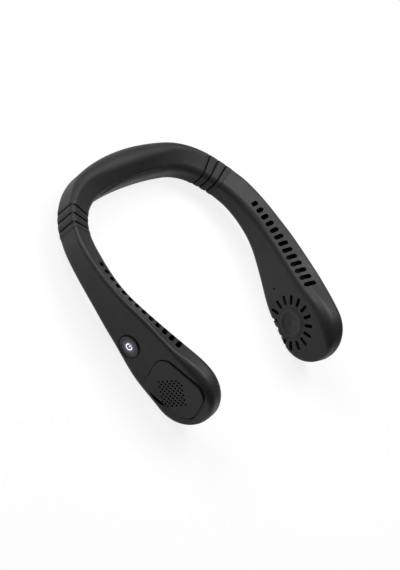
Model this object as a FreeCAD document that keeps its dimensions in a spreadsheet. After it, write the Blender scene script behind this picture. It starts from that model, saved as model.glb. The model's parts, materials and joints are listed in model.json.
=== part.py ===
import FreeCAD, Part
import math
import os

import Sketcher
from FreeCAD import Placement, Rotation, Vector

# An electric neck fan: a horseshoe whose back lies behind the neck at +Y and whose two arms
# reach forward along -Y. The button arm is at -X. It stands on the back and on both fan bulbs.
# Lengths are in millimetres and turns in degrees.
SIZES = {
    # Plan curve from the middle of the back to the tip of an arm, run by run
    "back_length": 38.3, "back_turn": 11.7,
    "shoulder_length": 37.9, "shoulder_turn": 41.4,
    "root_length": 32.1, "root_turn": 27.8,
    "bend_length": 46.4, "bend_turn": 20.6,
    "straight_length": 35.8,
    "tip_length": 46.6, "tip_turn": -3,
    "cap_length": 24, "cap_power": 2.3, "cap_end_share": 0.23,
    # Height of the outer ridge
    "ridge_back": 25, "ridge_shoulder": 24.5, "ridge_root": 29.1, "ridge_first": 33.5,
    "ridge_middle": 39, "ridge_last": 43.2, "ridge_bulb": 47.7,
    # Height of the underside, which touches the ground at the back and at the bulb
    "base_shoulder": 4.5, "base_root": 8.7, "base_first": 8.5, "base_middle": 4.5, "base_last": 0.1,
    # Half of the thickness across the arm
    "side_back": 11.2, "side_root": 8.8, "side_first": 8.2, "side_middle": 8.5,
    "side_last": 9.6, "side_bulb": 9.6,
    # How far the top strip falls from the ridge to the inner side
    "drop_back": 3.9, "drop_root": 3.6, "drop_middle": 4, "drop_bulb": 0.2,
    # Rounds of the section
    "ridge_round_back": 9, "ridge_round": 2.5, "ridge_round_bulb": 6.5,
    "inner_round_back": 9.4, "inner_round_root": 5.5, "inner_round_middle": 7, "inner_round_bulb": 8.5,
    "base_round_back": 6, "base_round_root": 4.4, "base_round_bulb": 4.9,
    # Walls and clearances
    "casing_wall": 1.8, "sleeve_wall": 2.4, "tip_wall": 3.6,
    "parting_depth": 3.4, "parting_gap": 0.12, "fit_gap": 0.15, "butt_gap": 0.3,
    "shaft_clearance": 0.03, "overrun": 6, "least_round": 0.4, "foot_depth": 0.3,
    # Spacing of the sections that the body is drawn through
    "section_step": 7.5,
    # Ribbed flexible stretch between the neck and an arm
    "groove_first": 71.8, "groove_pitch": 6.3, "groove_count": 3, "groove_width": 1.8,
    "groove_floor": 0.8, "groove_depth": 0.9, "flex_margin": 3.8,
    # Hidden hinge in the flexible stretch
    "knuckle_radius": 4, "ear_height": 2.3, "tongue_height": 4.4, "knuckle_gap": 0.3,
    "hinge_pin_radius": 1.8, "link_length": 11, "link_screw_radius": 0.9, "link_screw_length": 5,
    # Cable from one arm through the neck to the other
    "cable_radius": 0.9, "cable_offset": 5.1, "cable_room": 0.35, "cable_tail": 5,
    # Air slots in the top strip
    "slot_count": 13, "slot_first": 116, "slot_last": 187.5, "slot_width": 3.5,
    "slot_long_first": 5.4, "slot_long_last": 10, "slot_first_share": 0.6, "slot_last_share": 0.92,
    # Fan bulb
    "fan_station": 205, "fan_height": 16.4, "hub_radius": 10.8, "hub_seat": 0.9, "hub_proud": 0.35,
    "hub_gap": 0.2, "vent_count": 16, "vent_start": 12.6, "vent_end": 19.8, "vent_width": 2.5,
    "pinhole_station": 177.5, "pinhole_height": 15, "pinhole_radius": 0.8,
    # Side cover over the outer intake
    "cover_station": 208.9, "cover_height": 23.8, "cover_long": 39.5, "cover_tall": 30.8, "cover_round": 9.5,
    "cover_turn": 15.6, "cover_proud": 0.5, "cover_seat": 1.4, "cover_gap": 0.9, "cover_lip": 1.6,
    "cover_shift": 0.55, "cover_edge": 0.7, "seat_wall": 1.4, "intake_radius": 12,
    "hole_pitch": 2.28, "hole_radius": 0.75, "hole_rows": 4, "hole_row_pitch": 2.7,
    "hole_row_long": 11, "hole_drop": 3.2,
    # Casing screws under the side cover
    "screw_inset": 4, "screw_head_radius": 1.5, "screw_head_height": 0.6, "screw_radius": 0.8,
    "screw_length": 6, "boss_radius": 2.2,
    # Motor and impeller, stacked outwards from the inner casing
    "mount_radius": 8.9, "mount_height": 1.2, "tube_radius": 2.3, "tube_bore": 1.7, "tube_height": 5.7,
    "bearing_height": 1.6, "shaft_radius": 0.75, "shaft_length": 7.7, "stator_gap": 0.3,
    "stator_radius": 6.2, "stator_hub": 3.4, "stator_height": 3.8, "stator_teeth": 6, "tooth_width": 1.8,
    "shoe_depth": 0.8, "shoe_spread": 44, "coil_rise": 0.25, "coil_wide": 0.45, "coil_start": 3.7,
    "coil_end": 5.1, "air_gap": 0.4, "magnet_depth": 0.7, "magnet_lift": 0.3, "cup_wall": 0.6,
    "cup_height": 5.2, "impeller_radius": 13, "impeller_bore": 9.8, "impeller_lift": 1.2,
    "impeller_height": 12.6, "disc_height": 1, "skirt_wall": 0.7, "hub_boss_radius": 2.2,
    "hub_boss_height": 1.6, "blade_count": 24, "blade_thick": 0.7, "blade_sweep": 26, "ring_depth": 1.1,
    "ring_height": 0.7, "scroll_gap": 0.7, "scroll_wall": 0.7, "scroll_lift": 3.2,
    "scroll_open_from": 70, "scroll_open_to": 185,
    # Air duct floor and battery
    "duct_depth": 4.2, "duct_floor": 1, "duct_first": 109, "duct_last": 185,
    "battery_station": 141, "battery_long": 30, "battery_tall": 8.5, "battery_thick": 8.4,
    "battery_round": 1.5,
    # Button
    "button_station": 169.1, "button_height": 15.5, "button_radius": 7.3, "button_gap": 0.3,
    "button_proud": 0.45, "button_crown": 0.5, "button_rim": 0.5, "button_hollow": 0.4,
    "flange_rim": 0.8, "flange_height": 0.7,
    "flange_gap": 0.2, "button_travel": 0.8, "stem_radius": 1.5, "stem_height": 0.8,
    "dish_radius": 9, "dish_depth": 0.8,
    "icon_radius": 2.1, "icon_stroke": 0.7, "icon_depth": 0.5, "icon_open": 70, "icon_bar": 2.2,
    # Switch, main board, status light and charging socket
    "plunger_radius": 1.2, "plunger_depth": 1, "plunger_gap": 0.06,
    "switch_side": 6, "switch_height": 3, "bore_spare": 0.3,
    "board_long": 24, "board_tall": 14, "board_thick": 1.2, "post_radius": 1.4, "post_inset": 2,
    "light_long": 2, "light_tall": 1.2, "light_height": 0.7, "light_gap": 1,
    "socket_shift": 8, "socket_long": 9, "socket_thick": 3.3, "socket_deep": 7.3, "socket_wall": 0.35,
    "socket_mouth": 6, "tongue_long": 6.7, "tongue_thick": 0.7, "socket_sink": 0.3,
}

doc = FreeCAD.newDocument("neck_fan")
sheet = doc.addObject("Spreadsheet::Sheet", "Dim")
for row, (alias, number) in enumerate(SIZES.items(), 1):
    sheet.set("A%d" % row, alias)
    sheet.set("B%d" % row, str(number))
    sheet.setAlias("B%d" % row, alias)
doc.recompute()

UP = Vector(0, 0, 1)
parts = {}


def size(alias):
    """One driving dimension, read from the sheet."""
    return float(sheet.get(alias))


def sizes(*aliases):
    return [size(alias) for alias in aliases]


# Plan curve
RUNS = (
    (size("back_length"), math.radians(size("back_turn"))),
    (size("shoulder_length"), math.radians(size("shoulder_turn"))),
    (size("root_length"), math.radians(size("root_turn"))),
    (size("bend_length"), math.radians(size("bend_turn"))),
    (size("straight_length"), 0),
    (size("tip_length"), math.radians(size("tip_turn"))),
)
SHOULDER_END = RUNS[0][0] + RUNS[1][0]
ROOT_END = SHOULDER_END + RUNS[2][0]
ARM_END = sum(length for length, turn in RUNS)
CAP_START = ARM_END - size("cap_length")
MIDDLE = (ROOT_END + CAP_START) / 2
KEYS = (0, SHOULDER_END, ROOT_END, (ROOT_END + MIDDLE) / 2, MIDDLE, (MIDDLE + CAP_START) / 2, CAP_START)
FEW_KEYS = (0, SHOULDER_END, ROOT_END, MIDDLE, CAP_START)
GROOVES = [size("groove_first") + i * size("groove_pitch") for i in range(int(size("groove_count")))]
FLEX_START = GROOVES[0] - size("flex_margin")
FLEX_END = GROOVES[-1] + size("flex_margin")
HINGE = (FLEX_START + FLEX_END) / 2
ARM_START = FLEX_END + size("butt_gap")


def plan(station):
    """Place and heading of the plan curve at a length along it, before the origin is set."""
    x, y, heading, left = 0, 0, 0, station
    for length, turn in RUNS:
        run = min(left, length)
        after = heading + turn * run / length
        if turn:
            radius = length / turn
            x -= radius * (math.sin(after) - math.sin(heading))
            y += radius * (math.cos(after) - math.cos(heading))
        else:
            x -= run * math.cos(heading)
            y -= run * math.sin(heading)
        heading = after
        left -= run
    return x, y, heading


def ease(keys, values, station):
    """A smooth curve through the values at the keys, level at both ends."""
    station = min(max(station, keys[0]), keys[-1])
    i = max(k for k in range(len(keys) - 1) if keys[k] <= station)
    slopes = [0] + [
        (values[k + 1] - values[k - 1]) / (keys[k + 1] - keys[k - 1]) for k in range(1, len(keys) - 1)
    ] + [0]
    span = keys[i + 1] - keys[i]
    u = (station - keys[i]) / span
    start = values[i] * (1 + 2 * u) + slopes[i] * span * u
    end = values[i + 1] * (3 - 2 * u) + slopes[i + 1] * span * (u - 1)
    return start * (1 - u) ** 2 + end * u ** 2


RIDGES = sizes(
    "ridge_back", "ridge_shoulder", "ridge_root", "ridge_first", "ridge_middle", "ridge_last", "ridge_bulb"
)
BASES = [0] + sizes("base_shoulder", "base_root", "base_first", "base_middle", "base_last") + [0]
SIDES = sizes(
    "side_back", "side_root", "side_root", "side_first", "side_middle", "side_last", "side_bulb"
)
DROPS = sizes("drop_back", "drop_root", "drop_root", "drop_middle", "drop_bulb")
RIDGE_ROUNDS = sizes("ridge_round_back") + 5 * sizes("ridge_round") + sizes("ridge_round_bulb")
INNER_ROUNDS = sizes(
    "inner_round_back", "inner_round_root", "inner_round_root", "inner_round_middle", "inner_round_bulb"
)
BASE_ROUNDS = sizes(
    "base_round_back", "base_round_root", "base_round_root", "base_round_root", "base_round_bulb"
)


def ridge(station):
    return ease(KEYS, RIDGES, station)


def base(station):
    return ease(KEYS, BASES, station)


def side(station):
    return ease(KEYS, SIDES, station)


def drop(station):
    return ease(FEW_KEYS, DROPS, station)


def rounds(station):
    """The four rounds of the section as (out, up, radius): ridge, inner top, inner foot, outer foot."""
    reach = min(1, max(0, (station - CAP_START) / size("cap_length")))
    tall = math.sqrt(1 - reach ** 2)
    narrow = size("cap_end_share")
    half = side(station) * (narrow + (1 - narrow) * math.sqrt(1 - reach ** size("cap_power")))
    middle = (ridge(station) + base(station)) / 2
    rise = (ridge(station) - base(station)) / 2 * tall
    fall = drop(station) * tall
    top = ease(KEYS, RIDGE_ROUNDS, station) * tall
    inner, foot = [ease(FEW_KEYS, values, station) * tall for values in (INNER_ROUNDS, BASE_ROUNDS)]
    return (
        (half - top, middle + rise - top, top),
        (inner - half, middle + rise - fall - inner, inner),
        (foot - half, middle - rise + foot, foot),
        (half - foot, middle - rise + foot, foot),
    )


def turns(station):
    """Direction in which each straight side of the section faces, in the order of its rounds."""
    ring = rounds(station)
    facing = []
    for (out, up, radius), (next_out, next_up, next_radius) in zip(ring, ring[1:] + ring[:1]):
        length = math.hypot(next_out - out, next_up - up)
        along = math.atan2(next_up - up, next_out - out)
        facing.append(along - math.pi / 2 + math.asin((radius - next_radius) / length))
    return facing


def rim(round_corner, angle):
    """Point of a round in a given direction, in (out, up)."""
    out, up, radius = round_corner
    return out + radius * math.cos(angle), up + radius * math.sin(angle)


def drawn_in(station, inset):
    """The rounds of the section after its sides are drawn in, none sharper than the least round."""
    facing = turns(station)
    ring = []
    for i, (out, up, radius) in enumerate(rounds(station)):
        before, after = facing[i - 1], facing[i]
        small = max(radius - inset, size("least_round"))
        middle = before + ((after - before) % (2 * math.pi)) / 2
        shift = (radius - inset - small) / math.cos(middle - before)
        ring.append((out + shift * math.cos(middle), up + shift * math.sin(middle), small))
    return ring


def lowest_y():
    """The foremost point of an arm's tip, before the origin is set."""
    low = 0
    steps = 40
    for i in range(steps + 1):
        station = CAP_START + size("cap_length") * tip_reach() * math.sin(math.pi / 2 * i / steps)
        x, y, heading = plan(station)
        for out, up, radius in rounds(station):
            low = min(low, y + math.cos(heading) * out - radius)
    return low


def tip_reach():
    """How far along the cap the last section lies, as a share of the cap."""
    return 1 - size("fit_gap") / size("cap_length")


ORIGIN_Y = -(lowest_y() + size("side_back")) / 2


def place(station, out, up):
    """A point given along the plan curve, outwards from it and upwards. Negative stations are at +X."""
    x, y, heading = plan(abs(station))
    across, along = x - math.sin(heading) * out, y + math.cos(heading) * out
    point = Vector(across, along + ORIGIN_Y, up - size("foot_depth"))
    if station < 0:
        point.x = -point.x
    return point


def section(station, inset):
    """Closed outline of the body at a station, drawn in by an inset."""
    ring = drawn_in(abs(station), inset)
    facing = turns(abs(station))
    edges = []
    for i in range(len(ring)):
        here, there = ring[i], ring[(i + 1) % len(ring)]
        sweep = (facing[(i + 1) % len(ring)] - facing[i]) % (2 * math.pi)
        outline = (rim(here, facing[i]), rim(there, facing[i]),
                   rim(there, facing[i] + sweep / 2), rim(there, facing[i] + sweep))
        points = [place(station, *point) for point in outline]
        edges.append(Part.LineSegment(points[0], points[1]).toShape())
        edges.append(Part.Arc(points[1], points[2], points[3]).toShape())
    return Part.Wire(edges)


def spread(first, last, step):
    """Stations from first to last, evenly spaced and no further apart than a step."""
    count = max(1, math.ceil((last - first) / step))
    return [first + (last - first) * i / count for i in range(count + 1)]


def arm_stations(first, last):
    """Stations along an arm, closer together towards the tip of its cap."""
    step = size("section_step")
    if last <= CAP_START:
        return spread(first, last, step)
    count = 9
    reach = math.asin((last - CAP_START) / size("cap_length"))
    cap = [CAP_START + size("cap_length") * math.sin(reach * i / count) for i in range(1, count + 1)]
    return spread(first, CAP_START, step) + cap


def body(stations, inset):
    return Part.makeLoft([section(station, inset) for station in stations], True, False)


def slab(stations, outs, ups):
    """A solid between two outward limits and two heights, each a function of the station."""
    wires = []
    for station in stations:
        low, high = [limit(station) for limit in outs]
        foot, top = [limit(station) for limit in ups]
        corners = [(low, foot), (high, foot), (high, top), (low, top), (low, foot)]
        wires.append(Part.makePolygon([place(station, *corner) for corner in corners]))
    return Part.makeLoft(wires, True, False)


def wall_frame(station, out, up):
    """A frame on an arm: x along the arm to its tip, y up and z outwards."""
    heading = plan(station)[2]
    along = Vector(-math.cos(heading), -math.sin(heading), 0)
    outward = Vector(-math.sin(heading), math.cos(heading), 0)
    return Placement(place(station, out, up), Rotation(along, UP, outward, "ZXY"))


def face_frame(station, up):
    """A frame on the outer face of an arm: x along the face, y up and z out of it."""
    step = size("fit_gap")
    ends = [place(spot, side(spot), up) for spot in (station - step, station + step)]
    along = (ends[1] - ends[0]).normalize()
    return Placement(place(station, side(station), up), Rotation(along, UP, along.cross(UP), "ZXY"))


def hinge_frame(station, up):
    """A frame on an arm: x along the arm to its tip and z up."""
    heading = plan(station)[2]
    along = Vector(-math.cos(heading), -math.sin(heading), 0)
    return Placement(place(station, 0, up), Rotation(along, UP.cross(along), UP, "ZXY"))


def moved(shape, frame):
    shape.Placement = frame.multiply(shape.Placement)
    return shape


def mirrored(shape):
    return shape.mirror(Vector(), Vector(1, 0, 0))


def joined(shapes):
    return shapes[0].fuse(shapes[1:]).removeSplitter()


def largest(shape):
    return max(shape.Solids, key=lambda solid: solid.Volume)


def cylinder(radius, low, high):
    return Part.makeCylinder(radius, high - low, Vector(0, 0, low))


def stadium(length, width, low, high):
    """A slot cutter along y with round ends."""
    half, reach = width / 2, (length - width) / 2
    corners = [Vector(half, -reach, low), Vector(half, reach, low), Vector(-half, reach, low),
               Vector(-half, -reach, low)]
    edges = [
        Part.LineSegment(corners[0], corners[1]).toShape(),
        Part.Arc(corners[1], Vector(0, reach + half, low), corners[2]).toShape(),
        Part.LineSegment(corners[2], corners[3]).toShape(),
        Part.Arc(corners[3], Vector(0, -reach - half, low), corners[0]).toShape(),
    ]
    return Part.Face(Part.Wire(edges)).extrude(Vector(0, 0, high - low))


def rounded_block(long, tall, radius, low, high):
    """A block with round corners, long in x and tall in y."""
    block = Part.makeBox(long, tall, high - low, Vector(-long / 2, -tall / 2, low))
    upright = [edge for edge in block.Edges if abs(edge.tangentAt(edge.FirstParameter).z) == 1]
    return block.makeFillet(radius, upright)


def softened(shape, radius, edges):
    """The shape with some edges rounded, or as it was where the round doesn't fit."""
    try:
        soft = shape.makeFillet(radius, edges)
    except Part.OCCError:
        return shape
    return soft if soft.isValid() and len(soft.Solids) == len(shape.Solids) else shape


def keep(label, shape):
    """A sub-part whose shape is worked out above."""
    item = doc.addObject("Part::Feature", label)
    item.Shape = shape
    return name_part(label, item)


def name_part(label, item):
    item.Label = label
    parts[label] = item
    return item


def bind(item, rules):
    for target, rule in rules.items():
        item.setExpression(target, rule)
    return item


def seat(label, item, frame, lift=0):
    """Names a document object and puts it in its frame."""
    item.Placement = frame.multiply(Placement(Vector(0, 0, lift), Rotation()))
    return name_part(label, item)


def twin(source, label):
    """The same sub-part on the other arm."""
    copy = doc.addObject("Part::Mirroring", label)
    copy.Source = source
    copy.Normal = Vector(1, 0, 0)
    return name_part(label, copy)


def rod(name, radius, height, start=None):
    """A cylinder along z, from a start height if one is given."""
    item = doc.addObject("Part::Cylinder", name)
    bind(item, {"Radius": radius, "Height": height})
    return bind(item, {"Placement.Base.z": start}) if start else item


def boolean(kind, name, first, second):
    item = doc.addObject(kind, name)
    item.Base = first
    item.Tool = second
    return item


def block(name, long, tall, thick, at=("0", "0", "0")):
    """A box centred on x and y, with its lower corner moved by the given rules."""
    item = doc.addObject("Part::Box", name)
    return bind(item, {
        "Length": long, "Width": tall, "Height": thick,
        "Placement.Base.x": "(%s) - (%s) / 2" % (at[0], long),
        "Placement.Base.y": "(%s) - (%s) / 2" % (at[1], tall),
        "Placement.Base.z": at[2],
    })


def turned(name, outline):
    """A turned body about z. Its outline is a list of (radius, height) rules, with 0 on an axis."""
    item = doc.addObject("PartDesign::Body", name)
    sketch = item.newObject("Sketcher::SketchObject", name + "_outline")
    plane = [f for f in item.Origin.OriginFeatures if f.Role == "XZ_Plane"][0]
    sketch.AttachmentSupport = [(plane, "")]
    sketch.MapMode = "FlatFace"
    points = [Vector(worth(radius), worth(height), 0) for radius, height in outline]
    count = len(points)
    for i in range(count):
        sketch.addGeometry(Part.LineSegment(points[i], points[(i + 1) % count]))
    for i in range(count):
        sketch.addConstraint(Sketcher.Constraint("Coincident", i, 2, (i + 1) % count, 1))
    for i, rules in enumerate(outline):
        for kind, rule, value, axis in zip(("DistanceX", "DistanceY"), rules, points[i], (-2, -1)):
            if rule == "0":
                sketch.addConstraint(Sketcher.Constraint("PointOnObject", i, 1, axis))
            else:
                index = sketch.addConstraint(Sketcher.Constraint(kind, -1, 1, i, 1, value))
                sketch.setExpression("Constraints[%d]" % index, rule)
    turn = item.newObject("PartDesign::Revolution", name + "_turn")
    turn.Profile = sketch
    turn.ReferenceAxis = (sketch, ["V_Axis"])
    turn.Angle = 360
    return item


def worth(rule):
    """Value of a sum of sheet sizes."""
    total = 0
    for term in rule.replace("- ", "+ -").split("+"):
        term = term.strip()
        sign = -1 if term.startswith("-") else 1
        alias = term.lstrip("-").strip()
        total += sign * (size(alias[len("Dim."):]) if alias.startswith("Dim.") else float(alias))
    return total


def ground():
    """All that lies below the surface that the fan stands on."""
    half = ARM_END
    return Part.makeBox(2 * half, 2 * half, size("overrun"), Vector(-half, -half, -size("overrun")))


# Neck
def hinge_height():
    """Middle of the room inside the flexible stretch, under the fallen inner side of its top."""
    floor = base(HINGE) + size("sleeve_wall")
    half = side(HINGE)
    share = (half + size("knuckle_radius")) / (2 * half)
    roof = ridge(HINGE) - drop(HINGE) * share - size("sleeve_wall")
    return (floor + roof) / 2


HINGE_HEIGHT = hinge_height()
HINGE_FRAME = hinge_frame(HINGE, HINGE_HEIGHT)


def cable_path(first, last):
    """The cable's route between two stations, beside the plan curve on its inner side."""
    ends = [0]
    for length, turn in RUNS:
        ends.append(ends[-1] + length)
    marks = sorted({first, last} | {s for end in ends for s in (end, -end) if first < s < last})
    edges = []
    for start, stop in zip(marks, marks[1:]):
        points = [place(s, -size("cable_offset"), HINGE_HEIGHT) for s in (start, (start + stop) / 2, stop)]
        edges.append(Part.Arc(*points).toShape())
    return Part.Wire(edges)


def cable(radius, first, last):
    path = cable_path(first, last)
    start = path.Edges[0]
    circle = Part.Circle(start.valueAt(start.FirstParameter), start.tangentAt(start.FirstParameter), radius)
    return path.makePipeShell([Part.Wire([circle.toShape()])], True, False)


def knuckle(low, high, reach):
    """A rounded eye about the hinge axis with a bar along x."""
    radius = size("knuckle_radius")
    start = min(0, reach)
    bar = Part.makeBox(abs(reach), 2 * radius, high - low, Vector(start, -radius, low))
    return moved(joined([cylinder(radius, low, high), bar]), HINGE_FRAME)


LINK_END = ARM_START + size("link_length")
CABLE_END = LINK_END + size("cable_tail")


def make_neck():
    step = size("section_step")
    outer = body(spread(-FLEX_START, FLEX_START, step), 0)
    wall = size("sleeve_wall")
    hollow = body(spread(-FLEX_START - size("overrun"), FLEX_START + size("overrun"), step), wall)
    keep("neck_sleeve", outer.cut([hollow, ground()]))

    core = body(spread(-FLEX_START, FLEX_START, step), wall + 2 * size("fit_gap"))
    half = size("tongue_height") / 2 + size("knuckle_gap")
    reach = FLEX_START - HINGE - size("overrun")
    room = body(spread(FLEX_START - 2 * size("overrun"), FLEX_END, step), wall + 2 * size("fit_gap"))
    ears = [
        knuckle(low, low + size("ear_height"), reach).common(room)
        for low in (half, -half - size("ear_height"))
    ]
    pin_hole = moved(
        cylinder(size("hinge_pin_radius") + size("shaft_clearance"), -size("overrun"), size("overrun")),
        HINGE_FRAME,
    )
    core = core.fuse(ears + [mirrored(ear) for ear in ears])
    channel = cable(size("cable_radius") + size("cable_room"), -CABLE_END, CABLE_END)
    core = core.cut([channel, pin_hole, mirrored(pin_hole)])
    keep("neck_core", core.removeSplitter())
    keep("link_cable", cable(size("cable_radius"), -CABLE_END, CABLE_END))

    pin = rod("hinge_pin", "Dim.hinge_pin_radius",
              "2 * Dim.ear_height + 2 * Dim.knuckle_gap + Dim.tongue_height")
    seat("left_hinge_pin", pin, HINGE_FRAME, -half - size("ear_height"))
    twin(pin, "right_hinge_pin")


def groove_steps(station):
    """Sections along one groove as (station, depth): its two edges with its floor between."""
    half, floor, depth = size("groove_width") / 2, size("groove_floor") / 2, size("groove_depth")
    return [(station - half, 0), (station - floor, depth), (station + floor, depth), (station + half, 0)]


def make_flex():
    first, last = FLEX_START + size("butt_gap"), FLEX_END
    steps = [step for station in GROOVES for step in groove_steps(station)]
    sections = [section(station, depth) for station, depth in [(first, 0)] + steps + [(last, 0)]]
    outer = Part.makeLoft(sections, True, True)
    reach = size("overrun")
    room = body(spread(first - reach, last + reach, size("groove_pitch") / 2), size("sleeve_wall"))
    twin(keep("left_flex_sleeve", outer.cut(room)), "right_flex_sleeve")


# Arm casings
FAN_STATION = size("fan_station")
FAN_HALF = side(FAN_STATION)
FAN_FRAME = wall_frame(FAN_STATION, size("casing_wall") - FAN_HALF, size("fan_height"))
FAN_ROOM = 2 * FAN_HALF - size("casing_wall") - size("cover_seat") - size("seat_wall")
TIP = CAP_START + size("cap_length") * tip_reach()
CAVITY_END = ARM_END - size("tip_wall")
BULB_START = FAN_STATION - size("cover_long")


def cavity(first, gap=0):
    return body(arm_stations(first, CAVITY_END), size("casing_wall") + gap)


def rooted(first):
    """The room inside an arm with half of its wall, so that posts are rooted in the wall."""
    return cavity(first, -size("casing_wall") / 2)


def layer(low, high):
    """The bulb's skin between two depths below its surface."""
    shell = body(arm_stations(BULB_START, TIP), low)
    core = body(arm_stations(BULB_START - size("overrun"), CAVITY_END), high)
    return shell.cut(core)


def strip_frame(station, share):
    """A frame on the top strip, at a share of its width: x along the arm, y across it and z out of it."""
    ring, facing = rounds(station), turns(station)
    start, end = rim(ring[0], facing[0]), rim(ring[1], facing[0])
    middle = [a + (b - a) * share for a, b in zip(start, end)]
    heading = plan(station)[2]
    along = Vector(-math.cos(heading), -math.sin(heading), 0)
    outward = Vector(-math.sin(heading), math.cos(heading), 0)
    normal = outward * math.cos(facing[0]) + UP * math.sin(facing[0])
    return Placement(place(station, *middle), Rotation(along, normal.cross(along), normal, "ZXY"))


def slot_cutters():
    """Air slots in the top strip, longer and nearer to the inner side towards the tip."""
    count = int(size("slot_count"))
    reach = 2 * size("casing_wall")
    cutters = []
    for i in range(count):
        station, length, share = [
            size(first) + (size(last) - size(first)) * i / (count - 1)
            for first, last in (("slot_first", "slot_last"), ("slot_long_first", "slot_long_last"),
                                ("slot_first_share", "slot_last_share"))
        ]
        cutter = stadium(length, size("slot_width"), -reach, reach)
        cutters.append(moved(cutter, strip_frame(station, share)))
    return cutters


def cover_frame():
    tilt = Placement(Vector(), Rotation(Vector(0, 0, 1), size("cover_turn")))
    return wall_frame(size("cover_station"), 0, size("cover_height")).multiply(tilt)


def cover_prism(margin, shift=0):
    """The cover's outline through the arm with a margin, moved up and towards the tip by a shift."""
    long, tall = size("cover_long") + 2 * margin, size("cover_tall") + 2 * margin
    prism = rounded_block(long, tall, size("cover_round") + margin, 0, FAN_HALF + size("overrun"))
    return moved(prism, cover_frame().multiply(Placement(Vector(shift, shift, 0), Rotation())))


def screw_places():
    """Three corners of the cover seat that are clear of the scroll."""
    across = size("cover_long") / 2 - size("screw_inset")
    rise = size("cover_tall") / 2 - size("screw_inset")
    return [Vector(across, rise, 0), Vector(-across, rise, 0), Vector(across, -rise, 0)]


def skin(spot):
    """How far out the surface of the bulb lies at a spot of the cover's frame."""
    line = Part.makeLine(spot, spot + Vector(0, 0, 2 * FAN_HALF))
    return moved(line, cover_frame()).common(body(arm_stations(BULB_START, TIP), 0)).Length


SCREW_TOPS = [spot + Vector(0, 0, skin(spot)) for spot in screw_places()]


def at_screws(radius, lower, upper):
    """A cylinder across the arm at each casing screw, between two depths below the surface."""
    return [
        moved(cylinder(radius, -lower, -upper), cover_frame().multiply(Placement(top, Rotation())))
        for top in SCREW_TOPS
    ]


def fan_cylinder(radius, low, high):
    return moved(cylinder(radius, low, high), FAN_FRAME)


def vents():
    """Radial slots round the hub through the inner casing."""
    count = int(size("vent_count"))
    length = size("vent_end") - size("vent_start")
    middle = (size("vent_end") + size("vent_start")) / 2
    cutters = []
    for i in range(count):
        turn = Rotation(Vector(0, 0, 1), 180 * (2 * i + 1) / count)
        slot = stadium(length, size("vent_width"), -size("overrun"), size("casing_wall"))
        spot = Placement(turn.multVec(Vector(0, middle, 0)), turn)
        cutters.append(moved(slot, FAN_FRAME.multiply(spot)))
    return cutters


def parting():
    """The room on either side of the seam between the casings: outside and inside."""
    stations = spread(ARM_START - size("overrun"), ARM_END, size("section_step"))
    gap, reach = size("parting_gap") / 2, size("overrun")
    heights = (lambda s: base(s) - reach, lambda s: ridge(s) + reach)

    def seam(station):
        return side(station) - size("parting_depth")

    outside = slab(stations, (lambda s: seam(s) + gap, lambda s: side(s) + reach), heights)
    inside = slab(stations, (lambda s: -side(s) - reach, lambda s: seam(s) - gap), heights)
    return outside, inside


def seat_zone(gap):
    """All that lies out from the back of the cover's seat, with a gap round it."""
    margin = size("cover_gap") + size("cover_lip") + gap
    depth = size("cover_seat") + size("seat_wall") + gap
    return layer(-size("overrun"), depth).common(cover_prism(margin))


def head_depth():
    """Depth of the top of a casing screw below the surface."""
    return size("cover_seat") + 2 * size("fit_gap")


def outer_casing(shell, outside):
    depth, gap, reach = sizes("cover_seat", "fit_gap", "overrun")
    pad = layer(depth, depth + size("seat_wall")).common(cover_prism(size("cover_gap") + size("cover_lip")))
    pad = largest(pad.common(outside))
    recess = layer(-reach / 2, depth).common(cover_prism(size("cover_gap"), size("cover_shift")))
    intake = fan_cylinder(size("intake_radius"), FAN_ROOM - reach / 2, FAN_ROOM + reach)
    holes = at_screws(size("screw_radius") + gap, depth + reach, 0)
    floor = head_depth() + size("screw_head_height") + size("shaft_clearance")
    head_rooms = at_screws(size("screw_head_radius") + gap, floor, 0)
    return shell.common(outside).fuse(pad).cut([recess, intake] + holes + head_rooms)


def inner_casing(shell, inside):
    wall, reach, clearance = sizes("casing_wall", "overrun", "shaft_clearance")
    top = size("cover_seat") + size("seat_wall") + size("fit_gap")
    room = rooted(BULB_START).cut(seat_zone(size("fit_gap")))
    bosses = [boss.common(room) for boss in at_screws(size("boss_radius"), 2 * FAN_HALF, top)]
    pilots = at_screws(size("screw_radius") + clearance, top + size("screw_length"), 0)
    hub_cut = layer(-reach / 2, size("hub_seat")).common(
        fan_cylinder(size("hub_radius") + size("hub_gap"), -FAN_HALF, FAN_HALF - wall))
    link_hole = moved(
        cylinder(size("link_screw_radius") + clearance, -2 * reach, size("link_screw_length")), link_frame())
    return shell.common(inside).fuse(bosses).cut(vents() + slot_cutters() + pilots + [hub_cut, link_hole])


def pinhole():
    """A small hole in the inner face of the plain arm."""
    station = size("pinhole_station")
    hole = cylinder(size("pinhole_radius"), -2 * side(station), 0)
    return moved(hole, wall_frame(station, 0, size("pinhole_height")))


def make_casings():
    """The casings of both arms, with the button and the charging socket let into the left ones."""
    outer = body(arm_stations(ARM_START, TIP), 0)
    shell = outer.cut([cavity(ARM_START - size("overrun")), ground()])
    outside, inside = parting()

    plain = doc.addObject("Part::Feature", "plain_outer_casing")
    plain.Shape = outer_casing(shell, outside)
    twin(plain, "right_outer_casing")
    room = rooted(ARM_START)
    posts = [post.common(room) for post in board_posts()]
    keep("left_outer_casing", plain.Shape.fuse(posts).cut(button_openings()).removeSplitter())

    inner = inner_casing(shell, inside)
    keep("left_inner_casing", inner.cut(socket_hole()))
    keep("right_inner_casing", mirrored(inner.cut(pinhole())))


# Links between the hinges and the arms
def link_frame():
    """A frame on the underside of the arm at the middle of its hinge link, with z up."""
    station = ARM_START + size("link_length") / 2
    return hinge_frame(station, base(station) + size("casing_wall"))


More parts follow.
